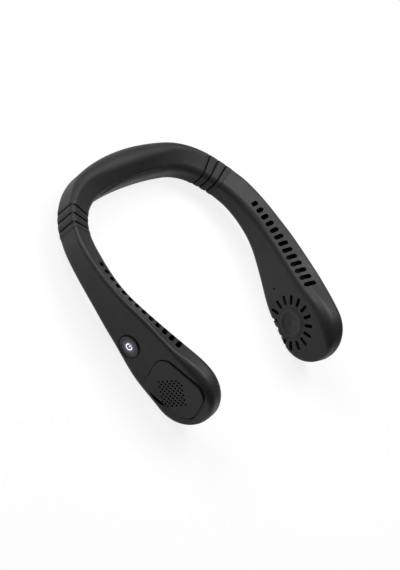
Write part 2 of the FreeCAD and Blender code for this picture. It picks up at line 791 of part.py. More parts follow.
def make_link():
    first = ARM_START + size("butt_gap")
    plug = body(spread(first, LINK_END, size("flex_margin")), size("casing_wall") + size("fit_gap"))
    half = size("tongue_height") / 2
    tongue = knuckle(-half, half, first - HINGE + size("overrun"))
    hole = moved(
        cylinder(size("hinge_pin_radius") + size("shaft_clearance"), -size("overrun"), size("overrun")),
        HINGE_FRAME,
    )
    channel = cable(size("cable_radius") + size("cable_room"), FLEX_START, CABLE_END)
    pilot = moved(
        cylinder(size("link_screw_radius") + size("shaft_clearance"), -size("overrun"),
                 size("link_screw_length") - size("casing_wall")), link_frame())
    link = plug.fuse(tongue).cut([hole, channel, pilot]).removeSplitter()
    twin(keep("left_arm_link", link), "right_arm_link")
    screw = turned("link_screw", [
        ("0", "0"), ("Dim.link_screw_radius", "0"), ("Dim.link_screw_radius", "Dim.link_screw_length"),
        ("0", "Dim.link_screw_length")])
    seat("left_link_screw", screw, link_frame(), -size("casing_wall"))
    twin(screw, "right_link_screw")


def make_side_cover():
    plate = layer(-size("cover_proud"), size("cover_seat") - size("fit_gap")).common(cover_prism(0))
    outward = cover_frame().Rotation.multVec(UP)
    face = max(plate.Faces, key=lambda item: item.Area * item.CenterOfMass.dot(outward))
    plate = softened(plate, size("cover_edge"), face.OuterWire.Edges)
    rows, long = int(size("hole_rows")), int(size("hole_row_long"))
    holes = []
    for row in range(-rows, rows + 1):
        count = long - 2 * abs(row)
        for i in range(count):
            spot = Vector((i - (count - 1) / 2) * size("hole_pitch"),
                          -row * size("hole_row_pitch") - size("hole_drop"), 0)
            hole = cylinder(size("hole_radius"), 0, FAN_HALF + size("overrun"))
            holes.append(moved(hole, cover_frame().multiply(Placement(spot, Rotation()))))
    twin(keep("left_side_cover", plate.cut(holes)), "right_side_cover")


def make_hub_cap():
    cap = layer(-size("hub_proud"), size("hub_seat") - size("fit_gap"))
    cap = cap.common(fan_cylinder(size("hub_radius"), -FAN_HALF, FAN_HALF - size("casing_wall")))
    twin(keep("left_hub_cap", cap), "right_hub_cap")


def make_casing_screws():
    top = head_depth()
    shanks = at_screws(size("screw_radius"), top + size("screw_length"), top)
    heads = at_screws(size("screw_head_radius"), top + size("screw_head_height"), top)
    screws = [joined([shank, head]) for shank, head in zip(shanks, heads)]
    twin(keep("left_casing_screws", Part.makeCompound(screws)), "right_casing_screws")


# Motor and impeller
def make_motor():
    lift = size("fit_gap")
    mount = turned("motor_mount", [
        ("Dim.tube_bore", "0"), ("Dim.mount_radius", "0"), ("Dim.mount_radius", "Dim.mount_height"),
        ("Dim.tube_radius", "Dim.mount_height"), ("Dim.tube_radius", "Dim.tube_height"),
        ("Dim.tube_bore", "Dim.tube_height")])
    twin(seat("left_motor_mount", mount, FAN_FRAME, lift), "right_motor_mount")

    outer = "Dim.tube_bore - Dim.shaft_clearance"
    inner = "Dim.shaft_radius + Dim.shaft_clearance"
    rings = []
    for i, start in enumerate((None, "Dim.tube_height - Dim.bearing_height")):
        solid = rod("bearing_outer_%d" % i, outer, "Dim.bearing_height", start)
        bore = rod("bearing_bore_%d" % i, inner, "Dim.bearing_height", start)
        rings.append(boolean("Part::Cut", "bearing_%d" % i, solid, bore))
    bearings = doc.addObject("Part::Compound", "bearings")
    bearings.Links = rings
    twin(seat("left_bearings", bearings, FAN_FRAME, lift), "right_bearings")

    floor = lift + size("mount_height") + size("stator_gap")
    stator, coils = stator_shapes()
    for name, shape in (("stator", stator), ("windings", coils)):
        shape.translate(Vector(0, 0, floor))
        twin(keep("left_" + name, moved(shape, FAN_FRAME)), "right_" + name)

    magnet_bore = "Dim.stator_radius + Dim.air_gap"
    cup_bore = magnet_bore + " + Dim.magnet_depth + Dim.shaft_clearance"
    cup_radius = cup_bore + " + Dim.cup_wall"
    cup = turned("rotor_cup", [
        (cup_bore, "0"), (cup_radius, "0"), (cup_radius, "Dim.cup_height"), (inner, "Dim.cup_height"),
        (inner, "Dim.cup_height - Dim.cup_wall"), (cup_bore, "Dim.cup_height - Dim.cup_wall")])
    twin(seat("left_rotor_cup", cup, FAN_FRAME, floor), "right_rotor_cup")
    magnet = boolean("Part::Cut", "magnet_ring",
                     rod("magnet_outer", magnet_bore + " + Dim.magnet_depth", "Dim.stator_height"),
                     rod("magnet_bore", magnet_bore, "Dim.stator_height"))
    twin(seat("left_magnet", magnet, FAN_FRAME, floor + size("magnet_lift")), "right_magnet")

    shaft = rod("shaft", "Dim.shaft_radius", "Dim.shaft_length")
    twin(seat("left_shaft", shaft, FAN_FRAME, 2 * lift), "right_shaft")
    make_impeller(floor + size("cup_height") + size("shaft_clearance"), worth(cup_radius))


def stator_shapes():
    """The toothed core with its windings, from its lower face up."""
    teeth, height, radius = int(size("stator_teeth")), size("stator_height"), size("stator_radius")
    width, rise = size("tooth_width"), size("coil_rise")
    core = [cylinder(size("stator_hub"), 0, height)]
    shoe_ring = cylinder(radius, 0, height).cut(cylinder(radius - size("shoe_depth"), 0, height))
    coils = []
    for i in range(teeth):
        turn = Placement(Vector(), Rotation(UP, 360 * i / teeth))
        tooth = Part.makeBox(radius - size("shoe_depth") / 2, width, height, Vector(0, -width / 2, 0))
        wedge = Part.makeCylinder(radius, height, Vector(), UP, size("shoe_spread"))
        wedge.rotate(Vector(), UP, -size("shoe_spread") / 2)
        core += [moved(tooth, turn), moved(wedge.common(shoe_ring), turn)]
        long, wide = size("coil_end") - size("coil_start"), width + 2 * size("coil_wide")
        coil = Part.makeBox(long, wide, height + 2 * rise, Vector(size("coil_start"), -wide / 2, -rise))
        gap = size("shaft_clearance")
        spare = Part.makeBox(long, width + 2 * gap, height + 2 * gap,
                             Vector(size("coil_start"), -width / 2 - gap, -gap))
        coils.append(moved(coil.cut(spare), turn))
    stator = joined(core).cut(cylinder(size("tube_radius") + size("shaft_clearance"), 0, height))
    return stator, Part.makeCompound(coils)


def blade(low, high):
    """One curved blade between the bore and the rim of the impeller."""
    inner, outer, half = size("impeller_bore"), size("impeller_radius"), size("blade_thick") / 2
    sweep = math.radians(size("blade_sweep"))
    bulge_share = 0.35

    def arc(shift):
        spots = ((inner, 0), ((inner + outer) / 2, sweep * bulge_share), (outer, sweep))
        return [Vector(r * math.cos(a) - shift * math.sin(a), r * math.sin(a) + shift * math.cos(a), low)
                for r, a in spots]

    near, far = arc(-half), arc(half)
    edges = [Part.Arc(*near).toShape(), Part.LineSegment(near[2], far[2]).toShape(),
             Part.Arc(far[2], far[1], far[0]).toShape(), Part.LineSegment(far[0], near[0]).toShape()]
    return Part.Face(Part.Wire(edges)).extrude(Vector(0, 0, high - low))


def make_impeller(disc_low, cup_radius):
    low = size("impeller_lift")
    high = low + size("impeller_height")
    disc_high = disc_low + size("disc_height")
    radius = size("impeller_radius")
    skirt_bore = cup_radius + size("shaft_clearance")
    hub = [
        cylinder(size("impeller_bore") + size("ring_depth"), disc_low, disc_high),
        cylinder(size("hub_boss_radius"), disc_low, disc_high + size("hub_boss_height")),
        cylinder(skirt_bore + size("skirt_wall"), low + size("mount_height"), disc_high),
    ]
    rings = [
        cylinder(radius, start, start + size("ring_height")).cut(
            cylinder(radius - size("ring_depth"), start, start + size("ring_height")))
        for start in (low, high - size("ring_height"))
    ]
    count = int(size("blade_count"))
    one = blade(low, high)
    blades = [moved(one.copy(), Placement(Vector(), Rotation(UP, 360 * i / count))) for i in range(count)]
    wheel = hub[0].fuse(hub[1:] + rings + blades)
    shaft_bore = cylinder(size("shaft_radius") + size("shaft_clearance"), 0, disc_high + size("overrun"))
    wheel = wheel.cut([cylinder(skirt_bore, 0, disc_low), shaft_bore])
    trim = cylinder(radius, low, high)
    wheel = wheel.common(trim).removeSplitter()
    twin(keep("left_impeller", moved(wheel, FAN_FRAME)), "right_impeller")

    inner = radius + size("scroll_gap")
    outer = inner + size("scroll_wall")
    low, high = size("scroll_lift"), FAN_ROOM - size("fit_gap")
    scroll = cylinder(outer, low, high).cut(cylinder(inner, low, high))
    opening = size("scroll_open_to") - size("scroll_open_from")
    gap = Part.makeCylinder(outer + size("overrun"), high - low, Vector(0, 0, low), UP, opening)
    gap.rotate(Vector(), UP, size("scroll_open_from"))
    scroll = moved(scroll.cut(gap), FAN_FRAME).common(cavity(BULB_START, size("fit_gap")))
    twin(keep("left_scroll", scroll.cut(seat_zone(size("fit_gap")))), "right_scroll")


# Air duct and battery
def make_duct_floor():
    def level(station):
        return ridge(station) - drop(station) - size("casing_wall") - size("duct_depth")

    stations = spread(size("duct_first"), size("duct_last"), size("section_step"))
    plate = slab(stations, (lambda s: -side(s), lambda s: side(s)),
                 (lambda s: level(s) - size("duct_floor"), level))
    floor = plate.common(cavity(ARM_START, size("fit_gap")))
    twin(keep("left_duct_floor", floor), "right_duct_floor")


def make_battery():
    cell = block("battery_block", "Dim.battery_long", "Dim.battery_thick", "Dim.battery_tall")
    doc.recompute()
    rounded = doc.addObject("Part::Fillet", "battery_cell")
    rounded.Base = cell
    radius = size("battery_round")
    rounded.Edges = [(i + 1, radius, radius) for i in range(len(cell.Shape.Edges))]
    station = size("battery_station")
    front = station - size("battery_long") / 2
    up = base(front) + size("casing_wall") + size("fit_gap")
    seat("left_battery", rounded, hinge_frame(station, up))
    twin(rounded, "right_battery")


# Button, switch and board, stacked inwards from the outer casing
BUTTON_FRAME = face_frame(size("button_station"), size("button_height"))
BUTTON_BACK = -size("casing_wall") - size("flange_gap") - size("flange_height")
BUTTON_DEPTH = "Dim.casing_wall + Dim.flange_gap + Dim.flange_height + Dim.button_proud"
PLUNGER_LONG = "Dim.plunger_depth + Dim.button_travel + Dim.bore_spare"
STEM_END = BUTTON_BACK - size("stem_height")
PLUNGER_END = STEM_END - worth(PLUNGER_LONG)
SWITCH_FOOT = PLUNGER_END + size("plunger_depth") - size("switch_height")
BOARD_TOP = SWITCH_FOOT - size("shaft_clearance")


def button_openings():
    """The dish and the bore that the button sits in."""
    bore = cylinder(size("button_radius") + size("button_gap"), BUTTON_BACK, size("overrun"))
    rise = size("dish_depth")
    dish = Part.makeCone(size("button_radius") + size("button_gap"), size("dish_radius"), rise,
                         Vector(0, 0, -rise))
    cap = cylinder(size("dish_radius"), 0, size("overrun"))
    return [moved(item, BUTTON_FRAME) for item in (bore, dish, cap)]


def board_posts():
    """Posts of the outer casing that the board rests on."""
    across = size("board_long") / 2 - size("post_inset")
    spots = [Vector(sign * across, 0, 0) for sign in (1, -1)]
    return [
        moved(cylinder(size("post_radius"), BOARD_TOP + size("shaft_clearance"), 0),
              BUTTON_FRAME.multiply(Placement(spot, Rotation())))
        for spot in spots
    ]


def icon_shape(low, high):
    """A power symbol: an open ring with an upright bar."""
    radius, half = size("icon_radius"), size("icon_stroke") / 2
    ring = cylinder(radius + half, low, high).cut(cylinder(radius - half, low, high))
    gap = Part.makeCylinder(2 * radius, high - low, Vector(0, 0, low), UP, size("icon_open"))
    gap.rotate(Vector(), UP, 90 - size("icon_open") / 2)
    length = size("icon_bar")
    bar = Part.makeBox(2 * half, length, high - low, Vector(-half, radius + half - length, low))
    return Part.makeCompound([ring.cut(gap), bar])


def make_button():
    front = size("button_proud") - size("button_hollow")
    face = "Dim.stem_height + %s - Dim.button_hollow" % BUTTON_DEPTH
    outline = turned("button_turned", [
        ("0", "0"), ("Dim.stem_radius", "0"), ("Dim.stem_radius", "Dim.stem_height"),
        ("Dim.button_radius + Dim.flange_rim", "Dim.stem_height"),
        ("Dim.button_radius + Dim.flange_rim", "Dim.stem_height + Dim.flange_height"),
        ("Dim.button_radius", "Dim.stem_height + Dim.flange_height"),
        ("Dim.button_radius", "Dim.stem_height + %s - Dim.button_crown" % BUTTON_DEPTH),
        ("Dim.button_radius - Dim.button_crown", "Dim.stem_height + " + BUTTON_DEPTH),
        ("Dim.button_radius - Dim.button_crown - Dim.button_rim", "Dim.stem_height + " + BUTTON_DEPTH),
        ("Dim.button_radius - Dim.button_crown - Dim.button_rim - Dim.button_hollow", face),
        ("0", face)])
    icon_pocket = doc.addObject("Part::Feature", "icon_pocket")
    icon_pocket.Shape = icon_shape(front - size("icon_depth") - STEM_END, size("overrun"))
    cap = boolean("Part::Cut", "button_with_icon", outline, icon_pocket)
    seat("power_button", cap, BUTTON_FRAME, STEM_END)
    icon = icon_shape(front - size("icon_depth") + size("shaft_clearance"), front)
    keep("button_icon", moved(icon, BUTTON_FRAME))

    plunger = rod("plunger", "Dim.plunger_radius", PLUNGER_LONG + " - Dim.shaft_clearance")
    seat("switch_plunger", plunger, BUTTON_FRAME, PLUNGER_END)

    solid = block("switch_block", "Dim.switch_side", "Dim.switch_side", "Dim.switch_height")
    bore = rod("switch_bore", "Dim.plunger_radius + Dim.plunger_gap", PLUNGER_LONG,
               "Dim.switch_height - (%s)" % PLUNGER_LONG)
    seat("switch_housing", boolean("Part::Cut", "switch", solid, bore), BUTTON_FRAME, SWITCH_FOOT)


def make_board():
    board = block("board", "Dim.board_long", "Dim.board_tall", "Dim.board_thick")
    rested = doc.addObject("Part::Compound", "board_piece")
    rested.Links = [board]
    seat("main_board", rested, BUTTON_FRAME, BOARD_TOP - size("board_thick"))

    beside = "Dim.switch_side / 2 + Dim.light_gap + Dim.light_tall / 2"
    light = block("light_block", "Dim.light_long", "Dim.light_tall", "Dim.light_height", ("0", beside, "0"))
    lamp = doc.addObject("Part::Compound", "light_piece")
    lamp.Links = [light]
    seat("status_light", lamp, BUTTON_FRAME, SWITCH_FOOT)


def socket_frame():
    """A frame at the mouth of the charging socket in the underside, with z up and y inwards."""
    foot = base(size("button_station") - size("socket_shift")) + size("socket_sink")
    back = BOARD_TOP - size("board_thick") - size("fit_gap")
    spot = Vector(-size("socket_shift"), foot - size("button_height"), back - size("socket_thick"))
    return BUTTON_FRAME.multiply(Placement(spot, Rotation(Vector(1, 0, 0), -90)))


def make_socket():
    middle = "-(Dim.socket_thick) / 2"
    inner_long = "Dim.socket_long - 2 * Dim.socket_wall"
    inner_thick = "Dim.socket_thick - 2 * Dim.socket_wall"
    at = ("0", middle, "0")
    shell = block("socket_block", "Dim.socket_long", "Dim.socket_thick", "Dim.socket_deep", at)
    mouth = block("socket_room", inner_long, inner_thick, "Dim.socket_mouth", at)
    tongue = block("socket_tongue", "Dim.tongue_long", "Dim.tongue_thick",
                   "Dim.socket_mouth - Dim.socket_wall", ("0", middle, "Dim.socket_wall * 2"))
    hollow = boolean("Part::Cut", "socket_shell", shell, mouth)
    seat("usb_socket", boolean("Part::Fuse", "socket", hollow, tongue), socket_frame())


def socket_hole():
    """The room for the charging socket in the underside of the inner casing."""
    gap, reach = size("fit_gap"), size("overrun")
    long, thick = size("socket_long") + 2 * gap, size("socket_thick") + 2 * gap
    deep = size("socket_deep") + gap + reach
    return moved(Part.makeBox(long, thick, deep, Vector(-long / 2, gap - thick, -reach)), socket_frame())


make_neck()
make_flex()
make_casings()
make_link()
make_side_cover()
make_hub_cap()
make_casing_screws()
make_motor()
make_duct_floor()
make_battery()
make_button()
make_board()
make_socket()
doc.recompute()

# Every object has to be sound before anything is written
faults = [item.Label for item in doc.Objects if "Invalid" in item.State or "Error" in item.State]
for label, item in parts.items():
    if item.Shape.isNull() or not item.Shape.isValid() or item.Shape.Volume <= 0:
        faults.append(label)
if faults:
    raise RuntimeError("Unsound: " + ", ".join(sorted(set(faults))))

os.makedirs("parts", exist_ok=True)
for label, item in parts.items():
    item.Shape.exportStep("parts/%s.step" % label)
    print(label, len(item.Shape.Solids), round(item.Shape.Volume, 1))
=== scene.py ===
import json
import math

import bpy
import numpy as np
from bpy.props import FloatProperty, FloatVectorProperty, IntProperty, PointerProperty
from mathutils import Matrix, Vector


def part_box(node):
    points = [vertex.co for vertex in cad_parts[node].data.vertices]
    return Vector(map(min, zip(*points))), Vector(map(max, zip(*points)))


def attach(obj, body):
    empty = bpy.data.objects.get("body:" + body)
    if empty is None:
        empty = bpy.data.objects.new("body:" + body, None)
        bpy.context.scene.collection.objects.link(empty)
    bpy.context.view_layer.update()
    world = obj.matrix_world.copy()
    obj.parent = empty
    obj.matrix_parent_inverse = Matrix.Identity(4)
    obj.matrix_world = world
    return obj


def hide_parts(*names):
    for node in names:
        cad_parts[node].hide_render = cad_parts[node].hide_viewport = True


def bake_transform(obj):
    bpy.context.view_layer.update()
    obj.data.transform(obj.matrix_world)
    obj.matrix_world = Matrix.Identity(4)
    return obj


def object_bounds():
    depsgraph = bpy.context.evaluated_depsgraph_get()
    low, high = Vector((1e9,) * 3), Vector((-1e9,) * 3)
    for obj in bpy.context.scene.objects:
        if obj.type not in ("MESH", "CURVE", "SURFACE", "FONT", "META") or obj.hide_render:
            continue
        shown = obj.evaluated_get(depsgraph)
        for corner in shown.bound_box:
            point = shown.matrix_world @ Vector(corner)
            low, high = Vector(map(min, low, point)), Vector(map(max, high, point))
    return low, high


bl_info = {
    "name": "Neck fan looks",
    "version": (1, 0, 0),
    "blender": (4, 5, 0),
    "location": "3D View > Sidebar > Neck fan",
    "description": "Dresses the neck fan: soft band, satin casings, lit button and a plain stage",
    "category": "Object",
}

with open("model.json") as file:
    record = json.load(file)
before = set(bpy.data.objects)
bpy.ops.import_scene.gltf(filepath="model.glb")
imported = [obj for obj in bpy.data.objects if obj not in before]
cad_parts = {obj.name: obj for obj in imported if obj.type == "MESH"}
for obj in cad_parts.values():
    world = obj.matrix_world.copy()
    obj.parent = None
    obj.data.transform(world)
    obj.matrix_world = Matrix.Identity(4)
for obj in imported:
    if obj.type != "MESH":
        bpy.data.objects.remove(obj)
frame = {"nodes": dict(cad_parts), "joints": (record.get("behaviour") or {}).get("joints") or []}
CAD_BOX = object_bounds()

# Each side's sign along the band
HANDS = {"left": 1, "right": -1}

# Points on a straight side of the section, and on its inner top, inner foot, outer foot and ridge
SIDE_STEPS = 8
ROUND_STEPS = (60, 14, 14, 20)

# Shares of an end's round that are left to go at its last two rows, and by which these rows are sunk
END_LEFT_SHARES = np.array([0.3, 0])
END_SUNK_SHARES = np.array([0.3, 1])

# Mesh attribute that holds painted shade, from 0 to 1: how far down a groove a point lies, plus a share of
# the crease's depth, and 1 inside the wall
PAINTED_SHADE_ATTRIBUTE = "depth"

# Noise lies mostly between these two values. Its scales are in grains to the metre
NOISE_SPAN = (0.3, 0.7)
CLOUD_SCALE = 45.0
GLOSS_SCALE = 160.0
RUBBER_GRAIN = 1300.0
LAYER_GLOSS_SCALE = 300.0
LIT_SCALE = 900.0
FACE_CLOUD_SCALE = 120.0
FACE_GLOSS_SCALE = 400.0
FACE_GRAIN = 1800.0
FLOOR_SCALE = 8.0
DRAWN_SCALES = (40.0, 40.0, 900.0)
PRESSED_SCALES = (900.0, 900.0, 900.0)
CLOUD_DETAIL = 3.0

# Heights of fine relief, in metres
GRAIN_RELIEF = 0.00002
FINE_RELIEF = 0.00001
LAYER_RELIEF = 0.00004

# Specular levels of plastic, of the soft band and of the floor of its grooves, where painted shade also dulls
# the gloss
PLASTIC_SPECULAR = 0.22
RUBBER_SPECULAR = 0.2
GROOVE_SPECULAR = 0.03

# Finish that the covers and the hub discs share
COVER_FINISH = {"roughness": 0.42, "tone_share": 0.1, "grain": 1700.0, "relief": 0.000015}

# Sockets of the colours in a mix node, which share their names with other kinds
MIX_FIRST, MIX_SECOND, MIX_RESULT = 6, 7, 2

# Radians by which a wave texture turns in each unit of length at scale 1
WAVE_TURN = 20.0


# Sizes and colours
class NeckFanBand(bpy.types.PropertyGroup):
    """Sizes of the soft band and of the curve that it follows."""

    run_lengths: FloatVectorProperty(
        name="Run lengths", description="Lengths of the runs of the plan curve, from the middle of the back",
        size=6, default=(0.0383, 0.0379, 0.0321, 0.0464, 0.0358, 0.0466), unit="LENGTH")
    run_turns: FloatVectorProperty(
        name="Run turns", description="Turn of each run of the plan curve", size=6,
        default=[math.radians(turn) for turn in (11.7, 41.4, 27.8, 20.6, 0, -3)], unit="ROTATION")
    cap_length: FloatProperty(
        name="Cap length", description="Length of the round end of an arm", default=0.024, unit="LENGTH")
    ridge_heights: FloatVectorProperty(
        name="Ridge heights", description="Height of the outer ridge from the back to the bulb", size=7,
        default=(0.025, 0.0245, 0.0291, 0.0335, 0.039, 0.0432, 0.0477), unit="LENGTH")
    base_heights: FloatVectorProperty(
        name="Base heights", description="Height of the underside from the back to the bulb", size=7,
        default=(0, 0.0045, 0.0087, 0.0085, 0.0045, 0.0001, 0), unit="LENGTH")
    half_widths: FloatVectorProperty(
        name="Half widths", description="Half of the thickness from the back to the bulb", size=7,
        default=(0.0112, 0.0088, 0.0088, 0.0082, 0.0085, 0.0096, 0.0096), unit="LENGTH")
    top_falls: FloatVectorProperty(
        name="Top falls", description="How far the top falls from the ridge to the inner side", size=5,
        default=(0.0039, 0.0036, 0.0036, 0.004, 0.0002), unit="LENGTH")
    ridge_rounds: FloatVectorProperty(
        name="Ridge rounds", description="Radius of the ridge", size=7,
        default=(0.009, 0.0025, 0.0025, 0.0025, 0.0025, 0.0025, 0.0065), unit="LENGTH")
    inner_rounds: FloatVectorProperty(
        name="Inner rounds", description="Radius of the inner top edge", size=5,
        default=(0.0094, 0.0055, 0.0055, 0.007, 0.0085), unit="LENGTH")
    base_rounds: FloatVectorProperty(
        name="Base rounds", description="Radius of the lower edges", size=5,
        default=(0.006, 0.0044, 0.0044, 0.0044, 0.0049), unit="LENGTH")
    foot_depth: FloatProperty(
        name="Foot depth", description="Depth of the flats that it stands on",
        default=0.0003, unit="LENGTH")
    wall: FloatProperty(name="Wall", description="Wall of the soft band", default=0.0024, unit="LENGTH")
    end: FloatProperty(
        name="End", description="Length along the curve where the band meets an arm", default=0.08845,
        unit="LENGTH")
    end_round: FloatProperty(
        name="End round", description="Round of the band where it meets an arm", default=0.0002,
        unit="LENGTH")
    seam_gap: FloatProperty(
        name="Seam gap", description="Gap between the pieces of the band, at the bottom of a groove",
        default=0.00002, unit="LENGTH")
    groove_first: FloatProperty(
        name="First groove", description="Place of the first groove along the curve", default=0.0718,
        unit="LENGTH")
    groove_pitch: FloatProperty(
        name="Groove pitch", description="Distance between grooves", default=0.0063, unit="LENGTH")
    groove_count: IntProperty(name="Grooves", description="Grooves at each end of the band", default=3)
    groove_width: FloatProperty(
        name="Groove width", description="Width of a groove", default=0.0012, unit="LENGTH")
    groove_depth: FloatProperty(
        name="Groove depth", description="Depth of a groove", default=0.0008, unit="LENGTH")
    rib_swell: FloatProperty(
        name="Rib swell", description="How far the ribs between the grooves swell", default=0.0002,
        unit="LENGTH")
    rib_reach_share: FloatProperty(
        name="Rib reach", description="Share of the pitch that swells outside the outermost grooves",
        default=0.6)
    crest_share: FloatProperty(
        name="Crest share", description="Share of the groove's depth that is left on the ridge",
        default=0.2)
    crest_facing: FloatProperty(
        name="Crest facing", description="Direction in which the ridge faces, up from outward",
        default=math.radians(50), unit="ROTATION")
    crest_spread: FloatProperty(
        name="Crest spread", description="Angle over which the grooves fade beside the ridge",
        default=math.radians(24), unit="ROTATION")
    crease_marks: FloatVectorProperty(
        name="Crease marks", description="Lengths to the left along the band at which the crease is set",
        size=7, default=(-0.041, -0.0325, -0.017, -0.0008, 0.016, 0.0298, 0.0415), unit="LENGTH")
    crease_heights: FloatVectorProperty(
        name="Crease heights", description="Height of the crease at its marks", size=7,
        default=(0.0183, 0.0182, 0.018, 0.0178, 0.0171, 0.0157, 0.0141), unit="LENGTH")
    crease_width: FloatProperty(
        name="Crease width", description="Width of the crease on the inner side", default=0.0011,
        unit="LENGTH")
    crease_depth: FloatProperty(
        name="Crease depth", description="Depth of the crease", default=0.0007, unit="LENGTH")
    crease_above_share: FloatProperty(
        name="Crease above", description="Reach of the crease above its line, as a share of its width",
        default=0.3)
    crease_below_share: FloatProperty(
        name="Crease below", description="Reach of the crease below its line, as a share of its width",
        default=0.5)
    crease_lip_share: FloatProperty(
        name="Crease lip", description="Slow swelling below the crease, as a share of its depth",
        default=0.35)
    # Painted shade: share of the crease's depth that darkens the rubber's colour
    crease_shade_share: FloatProperty(
        name="Crease shade", description="How far the crease darkens the rubber, next to a groove",
        default=0.8)
    crease_fades: FloatVectorProperty(
        name="Crease fades", description="Lengths over which the crease runs out at its right and left ends",
        size=2, default=(0.02, 0.01), unit="LENGTH")
    seam_rows: IntProperty(name="Seam rows", description="Rings of points beside a seam", default=24)
    plain_rows: IntProperty(name="Plain rows", description="Rings of points between the seams", default=180)
    rib_rows: IntProperty(name="Rib rows", description="Rings of points along one side's ribs", default=170)
    inner_rows: IntProperty(name="Inner rows", description="Rings of points inside the wall", default=60)


class NeckFanParts(bpy.types.PropertyGroup):
    """Sizes of the smaller pieces."""

    cable_radius: FloatProperty(
        name="Cable radius", description="Radius of the cable in the band", default=0.0009, unit="LENGTH")
    cable_offset: FloatProperty(
        name="Cable offset", description="How far inside the plan curve the cable runs", default=0.0051,
        unit="LENGTH")
    cable_end: FloatProperty(
        name="Cable end", description="Length along the curve where the cable ends", default=0.1045,
        unit="LENGTH")
    cable_core_share: FloatProperty(
        name="Cable core", description="Radius of the hollow in the cable, as a share of its own",
        default=0.25)
    cable_rows: IntProperty(name="Cable rows", description="Rings of points along the cable", default=90)
    cable_sides: IntProperty(name="Cable sides", description="Points round the cable", default=12)
    hub_proud: FloatProperty(
        name="Hub proud", description="How far the rim of the disc stands out", default=0.00035,
        unit="LENGTH")
    hub_seat: FloatProperty(
        name="Hub seat", description="Depth of the back of the disc under the surface", default=0.00075,
        unit="LENGTH")
    hub_dish: FloatProperty(
        name="Hub dish", description="Depth of the dish in the disc", default=0.0012, unit="LENGTH")
    hub_sides: IntProperty(name="Hub sides", description="Points round the disc", default=96)
    casing_wall: FloatProperty(
        name="Casing wall", description="Wall of the arm casings", default=0.0018, unit="LENGTH")
    glow_radius: FloatProperty(
        name="Glow radius", description="Reach of the glow round the mark on the button", default=0.0062,
        unit="LENGTH")
    glow_strength: FloatProperty(
        name="Glow strength", description="Strength of the glow at the middle of the button", default=0.3)
    mark_strength: FloatProperty(
        name="Mark strength", description="Strength of the lit mark on the button", default=1.0)
    lamp_strength: FloatProperty(
        name="Lamp strength", description="Strength of the status light inside", default=0.5)
    sheet_pitch: FloatProperty(
        name="Sheet pitch", description="Distance between the sheets of a stator",
        default=0.00035, unit="LENGTH")
    wire_pitch: FloatProperty(
        name="Wire pitch", description="Distance between the turns of a winding",
        default=0.00022, unit="LENGTH")


class NeckFanColours(bpy.types.PropertyGroup):
    """Colours of the finishes."""

    casing: FloatVectorProperty(
        name="Casing", description="Satin plastic of the arms", subtype="COLOR", size=3,
        default=(0.021, 0.021, 0.0215))
    band: FloatVectorProperty(
        name="Band", description="Soft band behind the neck", subtype="COLOR", size=3,
        default=(0.021, 0.021, 0.0215))
    button: FloatVectorProperty(
        name="Button", description="Face of the button", subtype="COLOR", size=3,
        default=(0.014, 0.013, 0.015))
    glow: FloatVectorProperty(
        name="Glow", description="Glow round the mark on the button", subtype="COLOR", size=3,
        default=(0.42, 0.34, 0.55))
    mark: FloatVectorProperty(
        name="Mark", description="Lit mark on the button", subtype="COLOR", size=3,
        default=(0.90, 0.86, 1.0))
    floor: FloatVectorProperty(
        name="Floor", description="Pale floor", subtype="COLOR", size=3, default=(0.90, 0.90, 0.90))
    # Painted shade: near-black that the band's colour is mixed towards in its grooves and crease
    groove: FloatVectorProperty(
        name="Groove", description="Floor of the band's grooves", subtype="COLOR", size=3,
        default=(0.003, 0.003, 0.003))
    cable: FloatVectorProperty(
        name="Cable", description="Sheath of the cable", subtype="COLOR", size=3,
        default=(0.012, 0.012, 0.012))
    steel: FloatVectorProperty(
        name="Steel", description="Pins, screws, cups and shafts", subtype="COLOR", size=3,
        default=(0.56, 0.56, 0.57))
    socket: FloatVectorProperty(
        name="Socket", description="Charging socket", subtype="COLOR", size=3, default=(0.62, 0.62, 0.63))
    core: FloatVectorProperty(
        name="Core", description="Stiff core of the neck", subtype="COLOR", size=3,
        default=(0.011, 0.011, 0.011))
    frame: FloatVectorProperty(
        name="Frame", description="Plastic parts inside the arms", subtype="COLOR", size=3,
        default=(0.011, 0.011, 0.0115))
    impeller: FloatVectorProperty(
        name="Impeller", description="Fan wheels", subtype="COLOR", size=3, default=(0.02, 0.02, 0.021))
    bronze: FloatVectorProperty(
        name="Bronze", description="Bearings", subtype="COLOR", size=3, default=(0.45, 0.3, 0.14))
    sheets: FloatVectorProperty(
        name="Sheets", description="Stacked sheets of the stators", subtype="COLOR", size=3,
        default=(0.22, 0.22, 0.24))
    copper: FloatVectorProperty(
        name="Copper", description="Wire of the windings", subtype="COLOR", size=3,
        default=(0.55, 0.2, 0.07))
    magnet: FloatVectorProperty(
        name="Magnet", description="Pressed magnets", subtype="COLOR", size=3, default=(0.03, 0.03, 0.033))
    cell: FloatVectorProperty(
        name="Cell", description="Wrap of the cells", subtype="COLOR", size=3, default=(0.02, 0.07, 0.17))
    lacquer: FloatVectorProperty(
        name="Lacquer", description="Lacquer of the board", subtype="COLOR", size=3,
        default=(0.008, 0.07, 0.025))
    switch: FloatVectorProperty(
        name="Switch", description="Switch behind the button", subtype="COLOR", size=3,
        default=(0.006, 0.006, 0.006))
    lamp: FloatVectorProperty(
        name="Lamp", description="Status light inside", subtype="COLOR", size=3, default=(0.9, 0.9, 0.8))


